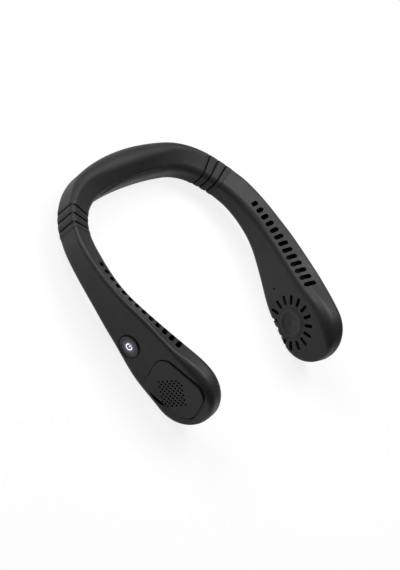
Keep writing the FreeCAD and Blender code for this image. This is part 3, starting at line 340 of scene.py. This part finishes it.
class NeckFanStage(bpy.types.PropertyGroup):
    """The camera, the lights and the floor."""

    azimuth: FloatProperty(
        name="Azimuth", description="Turn of the camera round the fan", default=math.radians(-80.1248),
        unit="ROTATION")
    elevation: FloatProperty(
        name="Elevation", description="Height of the camera as an angle", default=math.radians(42.2775),
        unit="ROTATION")
    roll: FloatProperty(
        name="Roll", description="Turn of the camera about its view", default=math.radians(52.382),
        unit="ROTATION")
    distance: FloatProperty(
        name="Distance", description="Distance from the camera to the fan", default=1.339956, unit="LENGTH")
    target: FloatVectorProperty(
        name="Target", description="Point that the camera looks at", default=(0, -0.001638, -0.0003),
        subtype="XYZ", unit="LENGTH")
    focal_length: FloatProperty(
        name="Focal length", description="Focal length in millimetres", default=124.13)
    shift_x: FloatProperty(name="Shift across", description="Shift of the picture across", default=0.03983)
    shift_y: FloatProperty(name="Shift up", description="Shift of the picture up", default=-0.001613)
    world_light: FloatProperty(
        name="Surround", description="Strength of the light from all round", default=0.05)
    near_limit: FloatProperty(
        name="Near limit", description="Distance from which the camera sees", default=0.01, unit="LENGTH")
    top_place: FloatVectorProperty(
        name="Top place", description="Place of the soft box above the fan", default=(0.485, 0.237, 1.015),
        subtype="XYZ", unit="LENGTH")
    top_size: FloatVectorProperty(
        name="Top size", description="Sides of the soft box above the fan", size=2, default=(0.9, 0.6),
        unit="LENGTH")
    top_power: FloatProperty(
        name="Top light", description="Power of the soft box above the fan", default=12.5, unit="POWER")
    back_place: FloatVectorProperty(
        name="Back place", description="Place of the soft box behind the neck", default=(-0.27, 0.84, 0.74),
        subtype="XYZ", unit="LENGTH")
    back_size: FloatVectorProperty(
        name="Back size", description="Sides of the soft box behind the neck", size=2, default=(0.8, 0.5),
        unit="LENGTH")
    back_power: FloatProperty(
        name="Back light", description="Power of the soft box behind the neck", default=10.0, unit="POWER")
    floor_half: FloatProperty(
        name="Floor half", description="Half of a side of the floor", default=3.0, unit="LENGTH")
    floor_level: FloatProperty(
        name="Floor level", description="Height of the floor, just under the fan", default=-0.0003,
        unit="LENGTH")
    shadow_share: FloatProperty(
        name="Shadow", description="Share of the floor's own light and shade in the ground", default=0.15)


# The plan curve and the section carried along it
def plan(band, station):
    """Place and heading of the plan curve: runs joined end to end, each an arc whose radius is its length
    over its turn, or straight where it has no turn."""
    x, y, heading = np.zeros_like(station), np.zeros_like(station), np.zeros_like(station)
    left = station.copy()
    for length, turn in zip(band.run_lengths, band.run_turns):
        run = np.clip(left, 0, length)
        after = heading + turn * run / length
        if turn:
            x -= length / turn * (np.sin(after) - np.sin(heading))
            y += length / turn * (np.cos(after) - np.cos(heading))
        else:
            x -= run * np.cos(heading)
            y -= run * np.sin(heading)
        heading = after
        left = left - run
    return x, y, heading


def keys(band):
    """Lengths along the curve at which the section is given: all seven, and the five without the quarters of
    the arm, which lie halfway between its middle and its ends."""
    runs = band.run_lengths
    shoulder, root = runs[0] + runs[1], runs[0] + runs[1] + runs[2]
    bulb = sum(runs) - band.cap_length
    middle = (root + bulb) / 2
    return ((0, shoulder, root, (root + middle) / 2, middle, (middle + bulb) / 2, bulb),
            (0, shoulder, root, middle, bulb))


def ease(marks, values, station):
    """A cubic curve through the values, with the slope at each from its two neighbours and level ends."""
    marks, values = np.array(marks), np.array(values)
    slopes = np.zeros(len(marks))
    slopes[1:-1] = (values[2:] - values[:-2]) / (marks[2:] - marks[:-2])
    i = np.clip(np.searchsorted(marks, station, side="right") - 1, 0, len(marks) - 2)
    span = marks[i + 1] - marks[i]
    u = (station - marks[i]) / span
    start = values[i] * (1 + 2 * u) + slopes[i] * span * u
    end = values[i + 1] * (3 - 2 * u) + slopes[i + 1] * span * (u - 1)
    return start * (1 - u) ** 2 + end * u ** 2


def section_rounds(band, station):
    """The four rounds of the section, ridge, inner top, inner foot and outer foot, as out, up and radius."""
    all_keys, few_keys = keys(band)
    ridge = ease(all_keys, band.ridge_heights, station)
    base = ease(all_keys, band.base_heights, station)
    half = ease(all_keys, band.half_widths, station)
    fall = ease(few_keys, band.top_falls, station)
    top = ease(all_keys, band.ridge_rounds, station)
    inner, foot = [ease(few_keys, radii, station) for radii in (band.inner_rounds, band.base_rounds)]
    out = np.stack([half - top, inner - half, foot - half, half - foot])
    up = np.stack([ridge - top, ridge - fall - inner, base + foot, base + foot])
    return out, up, np.stack([top, inner, foot, foot])


def outline(band, station):
    """The section as tangent lines and arcs: out, up and facing angle, stations by points round it. The
    rounds are stepped in the order inner top, inner foot, outer foot and ridge."""
    out, up, radius = section_rounds(band, station)
    next_out, next_up, next_radius = [np.roll(values, -1, axis=0) for values in (out, up, radius)]
    run_out, run_up = next_out - out, next_up - up
    facing = np.arctan2(run_up, run_out) - math.pi / 2
    facing += np.arcsin((radius - next_radius) / np.hypot(run_out, run_up))
    sweep = (np.roll(facing, -1, axis=0) - facing) % (2 * math.pi)
    along = np.arange(1, SIDE_STEPS + 1) / (SIDE_STEPS + 1)
    outs, ups, angles = [], [], []
    for i in range(len(radius)):
        j = (i + 1) % len(radius)
        for values, corner, wave in ((outs, out, np.cos), (ups, up, np.sin)):
            start = (corner[i] + radius[i] * wave(facing[i]))[:, None]
            end = (corner[j] + radius[j] * wave(facing[i]))[:, None]
            values.append(start + (end - start) * along)
        angles.append(facing[i][:, None] + np.zeros(SIDE_STEPS))
        bend = facing[i][:, None] + sweep[i][:, None] * np.linspace(0, 1, ROUND_STEPS[i])
        outs.append(out[j][:, None] + radius[j][:, None] * np.cos(bend))
        ups.append(up[j][:, None] + radius[j][:, None] * np.sin(bend))
        angles.append(bend)
    return np.hstack(outs), np.hstack(ups), np.hstack(angles)


def place(band, station, out, up):
    """Points of the frame from lengths along the curve, to the left where positive, distances outward from
    it and heights above the underside."""
    x, y, heading = [value[:, None] for value in plan(band, np.abs(station))]
    hand = np.where(station < 0, -1, 1)[:, None]
    back = CAD_BOX[1][1] - band.half_widths[0]
    return np.stack([
        hand * (x - np.sin(heading) * out), y + np.cos(heading) * out + back,
        up - band.foot_depth + np.zeros_like(out)], axis=-1)


def hinge_points(band, hand):
    """Points on the curve where the bending stretch starts and ends."""
    stations = hand * np.array([band.groove_first, band.end])
    zero = np.zeros((2, 1))
    return [Vector(point) for point in place(band, stations, zero, zero)[:, 0]]


# Meshes
def grid_mesh(name, points, closed_rows=True, flat_rows=()):
    """A surface through a grid of points, each row a ring, with flat faces after the flat rows. Closed rows
    join the last ring to the first one. The faces are turned so that they hold a positive volume, the sum of
    their corners' triple products."""
    rows, columns = points.shape[:2]
    row = np.arange(rows if closed_rows else rows - 1)[:, None]
    column = np.arange(columns)[None, :]
    quads = np.stack([
        (row + down) % rows * columns + (column + across) % columns
        for down, across in ((0, 0), (0, 1), (1, 1), (1, 0))], axis=-1).reshape(-1, 4)
    smooth = np.repeat(~np.isin(row, flat_rows), columns)
    points = points.reshape(-1, 3)
    a, b, c, d = [points[quads[:, i]] for i in range(4)]
    volume = np.einsum("ij,ij->", a, np.cross(b, c)) + np.einsum("ij,ij->", a, np.cross(c, d))
    if volume < 0:
        quads = quads[:, ::-1]
    mesh = bpy.data.meshes.new(name)
    mesh.from_pydata(points.tolist(), [], quads.tolist())
    mesh.polygons.foreach_set("use_smooth", smooth)
    mesh.update()
    piece = bpy.data.objects.new(name, mesh)
    bpy.context.scene.collection.objects.link(piece)
    return piece


# Materials
class Finish:
    """A node material with one main shader, built from Object coordinates."""

    def __init__(self, name):
        self.material = bpy.data.materials.new(name)
        self.material.use_nodes = True
        self.tree = self.material.node_tree
        self.shader = self.tree.nodes["Principled BSDF"]
        self.spots = self.node("ShaderNodeTexCoord").outputs["Object"]

    def join(self, value, socket):
        """Links a node's output to a socket, or sets the socket's own value."""
        if isinstance(value, bpy.types.NodeSocket):
            self.tree.links.new(value, socket)
        else:
            socket.default_value = value

    def node(self, kind, settings=None, **inputs):
        """Adds a node, with attributes in settings and socket values or links by name."""
        made = self.tree.nodes.new(kind)
        for key, value in (settings or {}).items():
            setattr(made, key, value)
        for key, value in inputs.items():
            self.join(value, made.inputs[key.replace("_", " ")])
        return made

    def pair(self, kind, operation, first, second):
        """The value that an operation makes of two others."""
        made = self.node(kind, {"operation": operation})
        self.join(first, made.inputs[0])
        self.join(second, made.inputs[1])
        return made.outputs["Value"]

    def put(self, socket, value):
        """Links or sets a socket of the main shader."""
        self.join(value, self.shader.inputs[socket])

    def noise(self, scale, detail=2.0, spots=None):
        """Noise over the piece, or over other coordinates."""
        made = self.node("ShaderNodeTexNoise", Vector=spots or self.spots, Scale=scale, Detail=detail)
        return made.outputs["Fac"]

    def gloss(self, value, roughness, spread):
        """Roughness that noise moves up and down by a spread."""
        low, high = NOISE_SPAN
        made = self.node("ShaderNodeMapRange", Value=value, From_Min=low, From_Max=high,
                         To_Min=roughness - spread, To_Max=roughness + spread)
        self.put("Roughness", made.outputs["Result"])

    def tones(self, value, colour, share):
        """A colour that noise makes darker and lighter by a share."""
        ramp = self.node("ShaderNodeValToRGB", Fac=value)
        for element, spot, factor in zip(ramp.color_ramp.elements, NOISE_SPAN, (1 - share, 1 + share)):
            element.color = [min(1, part * factor) for part in colour] + [1]
            element.position = spot
        return ramp.outputs["Color"]

    def relief(self, value, height):
        """Fine relief in the shading only, of a height in metres."""
        bump = self.node("ShaderNodeBump", Height=value, Distance=height, Strength=1.0)
        self.put("Normal", bump.outputs["Normal"])


def moulded(name, colour, roughness, tone_share=0.12, grain=1500.0, relief=GRAIN_RELIEF):
    """Moulded plastic: faint clouds of tone, a fine spark-eroded grain and uneven gloss."""
    finish = Finish(name)
    finish.put("Base Color", finish.tones(finish.noise(CLOUD_SCALE, CLOUD_DETAIL), colour, tone_share))
    finish.gloss(finish.noise(GLOSS_SCALE, CLOUD_DETAIL), roughness, spread=0.035)
    finish.put("Specular IOR Level", PLASTIC_SPECULAR)
    finish.relief(finish.noise(grain), relief)
    return finish.material


def soft_rubber(name, colour, painted_shade_colour):
    """Soft rubber: faint clouds of tone and a fine grain, darker and duller by painted shade in its mesh."""
    finish = Finish(name)
    painted_shade_fac = finish.node("ShaderNodeAttribute", {"attribute_name": PAINTED_SHADE_ATTRIBUTE}).outputs["Fac"]
    # Painted shade: the colour mixes towards a near-black by the shade kept in the mesh
    tone = finish.node("ShaderNodeMix", {"data_type": "RGBA"}, Factor=painted_shade_fac)
    clouds = finish.tones(finish.noise(CLOUD_SCALE, CLOUD_DETAIL), colour, share=0.1)
    finish.join(clouds, tone.inputs[MIX_FIRST])
    finish.join((*painted_shade_colour, 1), tone.inputs[MIX_SECOND])
    finish.put("Base Color", tone.outputs[MIX_RESULT])
    finish.gloss(finish.noise(GLOSS_SCALE, CLOUD_DETAIL), roughness=0.52, spread=0.04)
    # Painted shade also lowers the specular level
    shine = finish.node("ShaderNodeMapRange", Value=painted_shade_fac, To_Min=RUBBER_SPECULAR, To_Max=GROOVE_SPECULAR)
    finish.put("Specular IOR Level", shine.outputs["Result"])
    finish.relief(finish.noise(RUBBER_GRAIN), GRAIN_RELIEF)
    return finish.material


def metal(name, colour, roughness=0.3, scales=DRAWN_SCALES):
    """Drawn, turned or pressed metal: noise with a scale for each direction in tone, gloss and relief."""
    finish = Finish(name)
    lines = finish.node("ShaderNodeMapping", Vector=finish.spots, Scale=scales).outputs["Vector"]
    streaks = finish.noise(1.0, CLOUD_DETAIL, lines)
    finish.put("Base Color", finish.tones(streaks, colour, share=0.1))
    finish.put("Metallic", 1.0)
    finish.gloss(streaks, roughness, spread=0.08)
    finish.relief(streaks, FINE_RELIEF)
    return finish.material


def layered(name, colour, dark_share, pitch, direction, roughness):
    """Wound wire or stacked sheets of metal: even bands one pitch apart."""
    finish = Finish(name)
    scale = 2 * math.pi / WAVE_TURN / pitch
    wave = finish.node("ShaderNodeTexWave", {"bands_direction": direction}, Vector=finish.spots, Scale=scale,
                       Distortion=0.4).outputs["Fac"]
    ramp = finish.node("ShaderNodeValToRGB", Fac=wave)
    ramp.color_ramp.elements[0].color = [part * dark_share for part in colour] + [1]
    ramp.color_ramp.elements[1].color = [*colour, 1]
    finish.put("Base Color", ramp.outputs["Color"])
    finish.put("Metallic", 1.0)
    finish.gloss(finish.noise(LAYER_GLOSS_SCALE), roughness, spread=0.06)
    finish.relief(wave, LAYER_RELIEF)
    return finish.material


def lit(name, colour, strength):
    """A light guide lit from behind, a little uneven."""
    finish = Finish(name)
    cloud = finish.noise(LIT_SCALE)
    finish.put("Base Color", finish.tones(cloud, colour, share=0.05))
    finish.put("Emission Color", finish.tones(cloud, colour, share=0.04))
    finish.put("Emission Strength", strength)
    finish.put("Roughness", 0.35)
    return finish.material


def glowing_face(name, colour, glow, strength, centre, reach):
    """A dark satin face that glows round its middle and fades to nothing at the given reach."""
    finish = Finish(name)
    clouds = finish.noise(FACE_CLOUD_SCALE, CLOUD_DETAIL)
    finish.put("Base Color", finish.tones(clouds, colour, share=0.12))
    finish.gloss(finish.noise(FACE_GLOSS_SCALE), roughness=0.38, spread=0.04)
    far = finish.pair("ShaderNodeVectorMath", "DISTANCE", finish.spots, centre)
    fade = finish.node("ShaderNodeMapRange", {"interpolation_type": "SMOOTHERSTEP"}, Value=far,
                       From_Min=0.0, From_Max=reach, To_Min=strength, To_Max=0.0)
    finish.put("Emission Color", (*glow, 1))
    finish.put("Emission Strength", fade.outputs["Result"])
    finish.relief(finish.noise(FACE_GRAIN), FINE_RELIEF)
    return finish.material


def pale_floor(name, colour, shadow_share):
    """A floor that is plain white to the camera, to gloss and through clear pieces, but for a share of its
    own light and shade."""
    finish = Finish(name)
    finish.put("Base Color", finish.tones(finish.noise(FLOOR_SCALE), colour, share=0.01))
    finish.put("Roughness", 0.9)
    path = finish.node("ShaderNodeLightPath").outputs
    seen = path["Is Camera Ray"]
    for ray in ("Is Glossy Ray", "Is Transmission Ray"):
        seen = finish.pair("ShaderNodeMath", "MAXIMUM", seen, path[ray])
    white = finish.node("ShaderNodeEmission", Strength=1.0).outputs["Emission"]
    mix = finish.node("ShaderNodeMixShader")
    share = finish.pair("ShaderNodeMath", "MULTIPLY", seen, 1 - shadow_share)
    for value, socket in zip((share, finish.shader.outputs["BSDF"], white), mix.inputs):
        finish.join(value, socket)
    finish.join(mix.outputs["Shader"], finish.tree.nodes["Material Output"].inputs["Surface"])
    return finish.material


def dress(material, *names):
    """Gives CAD nodes a material."""
    for name in names:
        slots = frame["nodes"][name].data.materials
        slots.clear()
        slots.append(material)


def dress_pair(material, *names):
    """Gives the CAD nodes of both sides a material."""
    dress(material, *["%s_%s" % (side, name) for side in HANDS for name in names])


# Pieces
class NECKFAN_OT_band(bpy.types.Operator):
    """Soft band behind the neck: a middle piece and two ribbed pieces, parted in the first grooves"""

    bl_idname = "neckfan.band"
    bl_label = "Soft band"

    def execute(self, context):
        band, colours = context.scene.neckfan_band, context.scene.neckfan_colours
        material = soft_rubber("soft_band", colours.band, colours.groove)
        start = band.groove_first - band.seam_gap
        plain = start - band.groove_width
        fine = np.linspace(plain, start, band.seam_rows)
        stations = np.concatenate([-fine[::-1], np.linspace(-plain, plain, band.plain_rows)[1:-1], fine])
        piece = self.piece("middle_band", band, stations, np.zeros_like(stations), material)
        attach(piece, "neck_band")
        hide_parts("neck_sleeve")
        ribbed = np.linspace(band.groove_first, band.end - band.end_round, band.rib_rows)
        sunk = np.concatenate([np.zeros_like(ribbed), band.end_round * END_SUNK_SHARES])
        ribbed = np.concatenate([ribbed, band.end - band.end_round * END_LEFT_SHARES])
        for side, hand in HANDS.items():
            piece = self.piece(side + "_ribbed_band", band, hand * ribbed, sunk, material)
            hinge_points(band, hand)
            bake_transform(piece)
            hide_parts(side + "_flex_sleeve")
        return {"FINISHED"}

    def piece(self, name, band, stations, sunk, material):
        """The section carried along the stations and back again inside the wall, moved in along its facing
        by the depth of the grooves, the crease and the sunk ends. The groove depth as a share, with a share
        of the crease's, is kept as painted shade that darkens the rubber."""
        inner = np.linspace(stations[-1], stations[0], band.inner_rows)
        out, up, facing = outline(band, np.abs(stations))
        depth = self.grooves(band, np.abs(stations))[:, None] * self.crest_fade(band, facing)
        crease = self.crease(band, stations, out, up)
        # Painted shade: darkest at the floor of the grooves and in the crease
        shade = depth / band.groove_depth + band.crease_shade_share * crease / band.crease_depth
        depth += sunk[:, None] + crease
        inner_out, inner_up, inner_facing = outline(band, np.abs(inner))
        depth = np.vstack([depth, np.full_like(inner_out, band.wall)])
        # Painted shade is full on the inner wall
        shade = np.vstack([np.clip(shade, 0, 1), np.ones_like(inner_out)])
        facing = np.vstack([facing, inner_facing])
        out = np.vstack([out, inner_out]) - depth * np.cos(facing)
        up = np.vstack([up, inner_up]) - depth * np.sin(facing)
        up = np.maximum(up, band.foot_depth)
        ends = (len(stations) - 1, len(stations) + len(inner) - 1)
        piece = grid_mesh(name, place(band, np.concatenate([stations, inner]), out, up), flat_rows=ends)
        piece.data.attributes.new(PAINTED_SHADE_ATTRIBUTE, "FLOAT", "POINT").data.foreach_set("value", shade.ravel())
        piece.data.materials.append(material)
        return piece

    def grooves(self, band, station):
        """Depth along the band: flat-bottomed bells, to the sixth power, at the grooves, less the swelling
        of the ribs, a squared sine."""
        centres = band.groove_first + band.groove_pitch * np.arange(band.groove_count)
        bells = np.exp(-((station[:, None] - centres) / (band.groove_width / 2)) ** 6).sum(axis=1)
        phase = (station - band.groove_first) / band.groove_pitch
        last = band.groove_count - 1
        inside = (phase > -band.rib_reach_share) & (phase < last + band.rib_reach_share)
        swell = np.where(inside, np.sin(math.pi * phase) ** 2, 0)
        return band.groove_depth * bells - band.rib_swell * swell

    def crest_fade(self, band, facing):
        """One away from the ridge, and less by a bell of the facing angle towards it, where the grooves
        nearly run out."""
        off = (facing - band.crest_facing + math.pi) % (2 * math.pi) - math.pi
        return 1 - (1 - band.crest_share) * np.exp(-(off / band.crest_spread) ** 2)

    def crease(self, band, along, out, up):
        """Depth of the crease on the inner side: a bell of the distance from its line, narrower above than
        below, less a slow swelling below it. The line's height is eased through the marks, and the depth
        fades towards both ends."""
        marks = np.array(band.crease_marks)
        level = ease(marks, band.crease_heights, np.clip(along, marks[0], marks[-1]))[:, None]
        off = (level - up) / band.crease_width
        above = np.exp(-(off / band.crease_above_share) ** 2)
        below = np.exp(-(off / band.crease_below_share) ** 2) - band.crease_lip_share * off * np.exp(-off)
        right_fade, left_fade = band.crease_fades
        ends = np.clip((along - marks[0]) / right_fade, 0, 1)
        ends *= np.clip((marks[-1] - along) / left_fade, 0, 1)
        return band.crease_depth * np.where(off < 0, above, below) * ends[:, None] * (out < 0)


class NECKFAN_OT_cable(bpy.types.Operator):
    """Cable inside the band, one half for each arm"""

    bl_idname = "neckfan.cable"
    bl_label = "Cable in the band"

    def execute(self, context):
        band, parts = context.scene.neckfan_band, context.scene.neckfan_parts
        colour = context.scene.neckfan_colours.cable
        material = moulded("cable_sheath", colour, roughness=0.55, tone_share=0.15)
        for side, hand in HANDS.items():
            piece = grid_mesh(side + "_cable", self.surface(band, parts, hand))
            piece.data.materials.append(material)
            hinge_points(band, hand)
            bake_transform(piece)
            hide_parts("link_cable")
        return {"FINISHED"}

    def surface(self, band, parts, hand):
        """A circle carried along a line beside the plan curve, and back along a thin core, so that the ends
        close."""
        low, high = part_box("link_cable")
        stations = np.linspace(0, parts.cable_end, parts.cable_rows)
        stations = hand * np.concatenate([stations, stations[::-1]])
        radius = parts.cable_radius * np.repeat([1, parts.cable_core_share], parts.cable_rows)[:, None]
        turn = np.linspace(0, 2 * math.pi, parts.cable_sides, endpoint=False)
        out = radius * np.cos(turn) - parts.cable_offset
        up = radius * np.sin(turn) + (low.z + high.z) / 2 + band.foot_depth
        return place(band, stations, out, up)


class NECKFAN_OT_hub_caps(bpy.types.Operator):
    """Dished discs between the radial slots of the bulbs"""

    bl_idname = "neckfan.hub_caps"
    bl_label = "Hub caps"

    def execute(self, context):
        parts = context.scene.neckfan_parts
        material = moulded("hub_plastic", context.scene.neckfan_colours.casing, **COVER_FINISH)
        joints = {joint["name"]: joint for joint in frame["joints"]}
        for side in HANDS:
            joint = joints[side + "_fan_spin"]
            points = self.surface(parts, joint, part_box(side + "_hub_cap"))
            piece = grid_mesh(side + "_hub_disc", points, closed_rows=False)
            piece.data.materials.append(material)
            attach(piece, side + "_arm")
            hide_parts(side + "_hub_cap")
        return {"FINISHED"}

    def surface(self, parts, joint, box):
        """A profile of radius and height turned about the fan's axis and laid on the inner face of the bulb:
        a dish, a fine ring, a rounded rim and a flat back. The radii are shares of the rim's, and the drops
        are shares of the dish's depth."""
        rim = (box[1].z - box[0].z) / 2
        radius_shares = [0, 0.2, 0.4, 0.55, 0.66, 0.72, 0.76, 0.78, 0.8, 0.83, 0.9, 0.95, 0.98, 0.995, 1, 1]
        drop_shares = [1, 0.97, 0.88, 0.72, 0.5, 0.28, 0.1, 0.02, 0, 0.06, 0.1, 0.13, 0.2, 0.3, 0.42, 0.7]
        front = parts.hub_proud - parts.hub_dish * np.array(drop_shares)
        radius = np.array(radius_shares + [1, 0]) * rim
        height = np.concatenate([front, [-parts.hub_seat, -parts.hub_seat]])
        turn = np.linspace(0, 2 * math.pi, parts.hub_sides, endpoint=False)
        along = radius[:, None] * np.cos(turn)
        rise = radius[:, None] * np.sin(turn)
        inward = height[:, None] + parts.casing_wall + np.zeros_like(along)
        middle, outward = np.array(joint["pos_m"]), np.array(joint["axis"])
        upward = np.array([0, 0, 1])
        ahead = np.cross(upward, outward)
        return middle + along[..., None] * ahead + rise[..., None] * upward - inward[..., None] * outward


class NECKFAN_OT_casings(bpy.types.Operator):
    """Satin finish of the arm casings and side covers"""

    bl_idname = "neckfan.casings"
    bl_label = "Casings"

    def execute(self, context):
        colour = context.scene.neckfan_colours.casing
        dress_pair(moulded("casing_plastic", colour, roughness=0.44, tone_share=0.1),
                   "outer_casing", "inner_casing")
        dress_pair(moulded("cover_plastic", colour, **COVER_FINISH), "side_cover")
        return {"FINISHED"}


class NECKFAN_OT_button(bpy.types.Operator):
    """Button with its lit mark"""

    bl_idname = "neckfan.button"
    bl_label = "Button"

    def execute(self, context):
        colours, parts = context.scene.neckfan_colours, context.scene.neckfan_parts
        low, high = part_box("button_icon")
        face = glowing_face("button_face", colours.button, colours.glow, parts.glow_strength,
                            (low + high) / 2, parts.glow_radius)
        dress(face, "power_button")
        dress(lit("lit_mark", colours.mark, parts.mark_strength), "button_icon")
        return {"FINISHED"}


class NECKFAN_OT_works(bpy.types.Operator):
    """Finishes of the motors, cells, board and screws inside"""

    bl_idname = "neckfan.works"
    bl_label = "Inner works"

    def execute(self, context):
        colours, parts = context.scene.neckfan_colours, context.scene.neckfan_parts
        self.metals(colours, parts)
        self.plastics(colours)
        dress(lit("status_lamp", colours.lamp, parts.lamp_strength), "status_light")
        return {"FINISHED"}

    def metals(self, colours, parts):
        """Pins and screws, the socket and the metal of the motors."""
        steel = metal("turned_steel", colours.steel)
        dress_pair(steel, "hinge_pin", "link_screw", "casing_screws", "rotor_cup", "shaft")
        dress(metal("socket_steel", colours.socket, roughness=0.25), "usb_socket")
        bronze = metal("sintered_bronze", colours.bronze, roughness=0.45, scales=PRESSED_SCALES)
        dress_pair(bronze, "bearings")
        sheets = layered("stacked_sheets", colours.sheets, dark_share=0.6, pitch=parts.sheet_pitch,
                         direction="X", roughness=0.4)
        dress_pair(sheets, "stator")
        copper = layered("copper_wire", colours.copper, dark_share=0.45, pitch=parts.wire_pitch,
                         direction="Z", roughness=0.35)
        dress_pair(copper, "windings")

    def plastics(self, colours):
        """Frames, wheels, magnets, cells, the board and its switch."""
        dress(moulded("core_plastic", colours.core, roughness=0.55), "neck_core")
        frame_plastic = moulded("frame_plastic", colours.frame, roughness=0.52)
        dress_pair(frame_plastic, "arm_link", "motor_mount", "scroll", "duct_floor")
        dress_pair(moulded("impeller_plastic", colours.impeller, roughness=0.35), "impeller")
        magnet = moulded("pressed_magnet", colours.magnet, roughness=0.5, tone_share=0.2, grain=2500.0)
        dress_pair(magnet, "magnet")
        wrap = moulded("cell_wrap", colours.cell, roughness=0.3, tone_share=0.1, grain=500.0)
        dress_pair(wrap, "battery")
        lacquer = moulded("board_lacquer", colours.lacquer, roughness=0.35, tone_share=0.3, grain=900.0)
        dress(lacquer, "main_board")
        dress(moulded("switch_plastic", colours.switch, roughness=0.4), "switch_housing", "switch_plunger")


class NECKFAN_OT_stage(bpy.types.Operator):
    """Pale floor, soft light and the camera"""

    bl_idname = "neckfan.stage"
    bl_label = "Stage"

    def execute(self, context):
        stage = context.scene.neckfan_stage
        self.floor(stage, context.scene.neckfan_colours.floor)
        self.surround(context.scene, stage)
        self.lamp("top_box", stage.top_place, stage.top_size, stage.top_power)
        self.lamp("back_box", stage.back_place, stage.back_size, stage.back_power)
        self.camera(context.scene, stage)
        context.scene.view_settings.view_transform = "Standard"
        return {"FINISHED"}

    def floor(self, stage, colour):
        """A level square just under the fan."""
        corners = stage.floor_half * np.array([(-1, -1), (1, -1), (1, 1), (-1, 1)])
        corners = np.column_stack([corners, np.full(len(corners), stage.floor_level)])
        mesh = bpy.data.meshes.new("floor")
        mesh.from_pydata(corners.tolist(), [], [(0, 1, 2, 3)])
        mesh.materials.append(pale_floor("pale_floor", colour, stage.shadow_share))
        piece = bpy.data.objects.new("floor", mesh)
        bpy.context.scene.collection.objects.link(piece)

    def surround(self, scene, stage):
        """Even white light from all round."""
        world = bpy.data.worlds.new("surround")
        world.use_nodes = True
        back = world.node_tree.nodes["Background"]
        back.inputs["Color"].default_value = (1, 1, 1, 1)
        back.inputs["Strength"].default_value = stage.world_light
        scene.world = world

    def lamp(self, name, spot, size, power):
        """A soft box that faces the origin."""
        light = bpy.data.lights.new(name, "AREA")
        light.shape = "RECTANGLE"
        light.size, light.size_y = size
        light.energy = power
        lamp = bpy.data.objects.new(name, light)
        lamp.location = spot
        lamp.rotation_euler = (-Vector(spot)).to_track_quat("-Z", "Y").to_euler()
        bpy.context.scene.collection.objects.link(lamp)

    def camera(self, scene, stage):
        """A camera on a sphere round the target, turned about its view by the roll."""
        turn, lift, roll = stage.azimuth, stage.elevation, stage.roll
        back = Vector((math.sin(turn) * math.cos(lift), -math.cos(turn) * math.cos(lift), math.sin(lift)))
        level = Vector((math.cos(turn), math.sin(turn), 0))
        upright = back.cross(level)
        right = level * math.cos(roll) + upright * math.sin(roll)
        up = upright * math.cos(roll) - level * math.sin(roll)
        data = bpy.data.cameras.new("camera")
        data.lens = stage.focal_length
        data.shift_x, data.shift_y = stage.shift_x, stage.shift_y
        data.clip_start = stage.near_limit
        camera = bpy.data.objects.new("camera", data)
        matrix = Matrix((right, up, back)).transposed().to_4x4()
        matrix.translation = Vector(stage.target) + back * stage.distance
        camera.matrix_world = matrix
        scene.collection.objects.link(camera)
        scene.camera = camera


class NECKFAN_PT_panel(bpy.types.Panel):
    """Lists the pieces of the neck fan"""

    bl_idname = "NECKFAN_PT_panel"
    bl_label = "Neck fan"
    bl_space_type = "VIEW_3D"
    bl_region_type = "UI"
    bl_category = "Neck fan"

    def draw(self, context):
        for operator in OPERATORS:
            self.layout.operator(operator.bl_idname)


OPERATORS = (
    NECKFAN_OT_band, NECKFAN_OT_cable, NECKFAN_OT_hub_caps, NECKFAN_OT_casings, NECKFAN_OT_button,
    NECKFAN_OT_works, NECKFAN_OT_stage,
)
GROUPS = {
    "neckfan_band": NeckFanBand, "neckfan_parts": NeckFanParts, "neckfan_colours": NeckFanColours,
    "neckfan_stage": NeckFanStage,
}


def register():
    for group in GROUPS.values():
        bpy.utils.register_class(group)
    for name, group in GROUPS.items():
        setattr(bpy.types.Scene, name, PointerProperty(type=group))
    for item in OPERATORS + (NECKFAN_PT_panel,):
        bpy.utils.register_class(item)


def unregister():
    for item in (NECKFAN_PT_panel,) + OPERATORS[::-1]:
        bpy.utils.unregister_class(item)
    for name, group in GROUPS.items():
        delattr(bpy.types.Scene, name)
        bpy.utils.unregister_class(group)


def main():
    register()
    for operator in OPERATORS:
        family, name = operator.bl_idname.split(".")
        getattr(getattr(bpy.ops, family), name)()


if __name__ == "__main__":
    main()
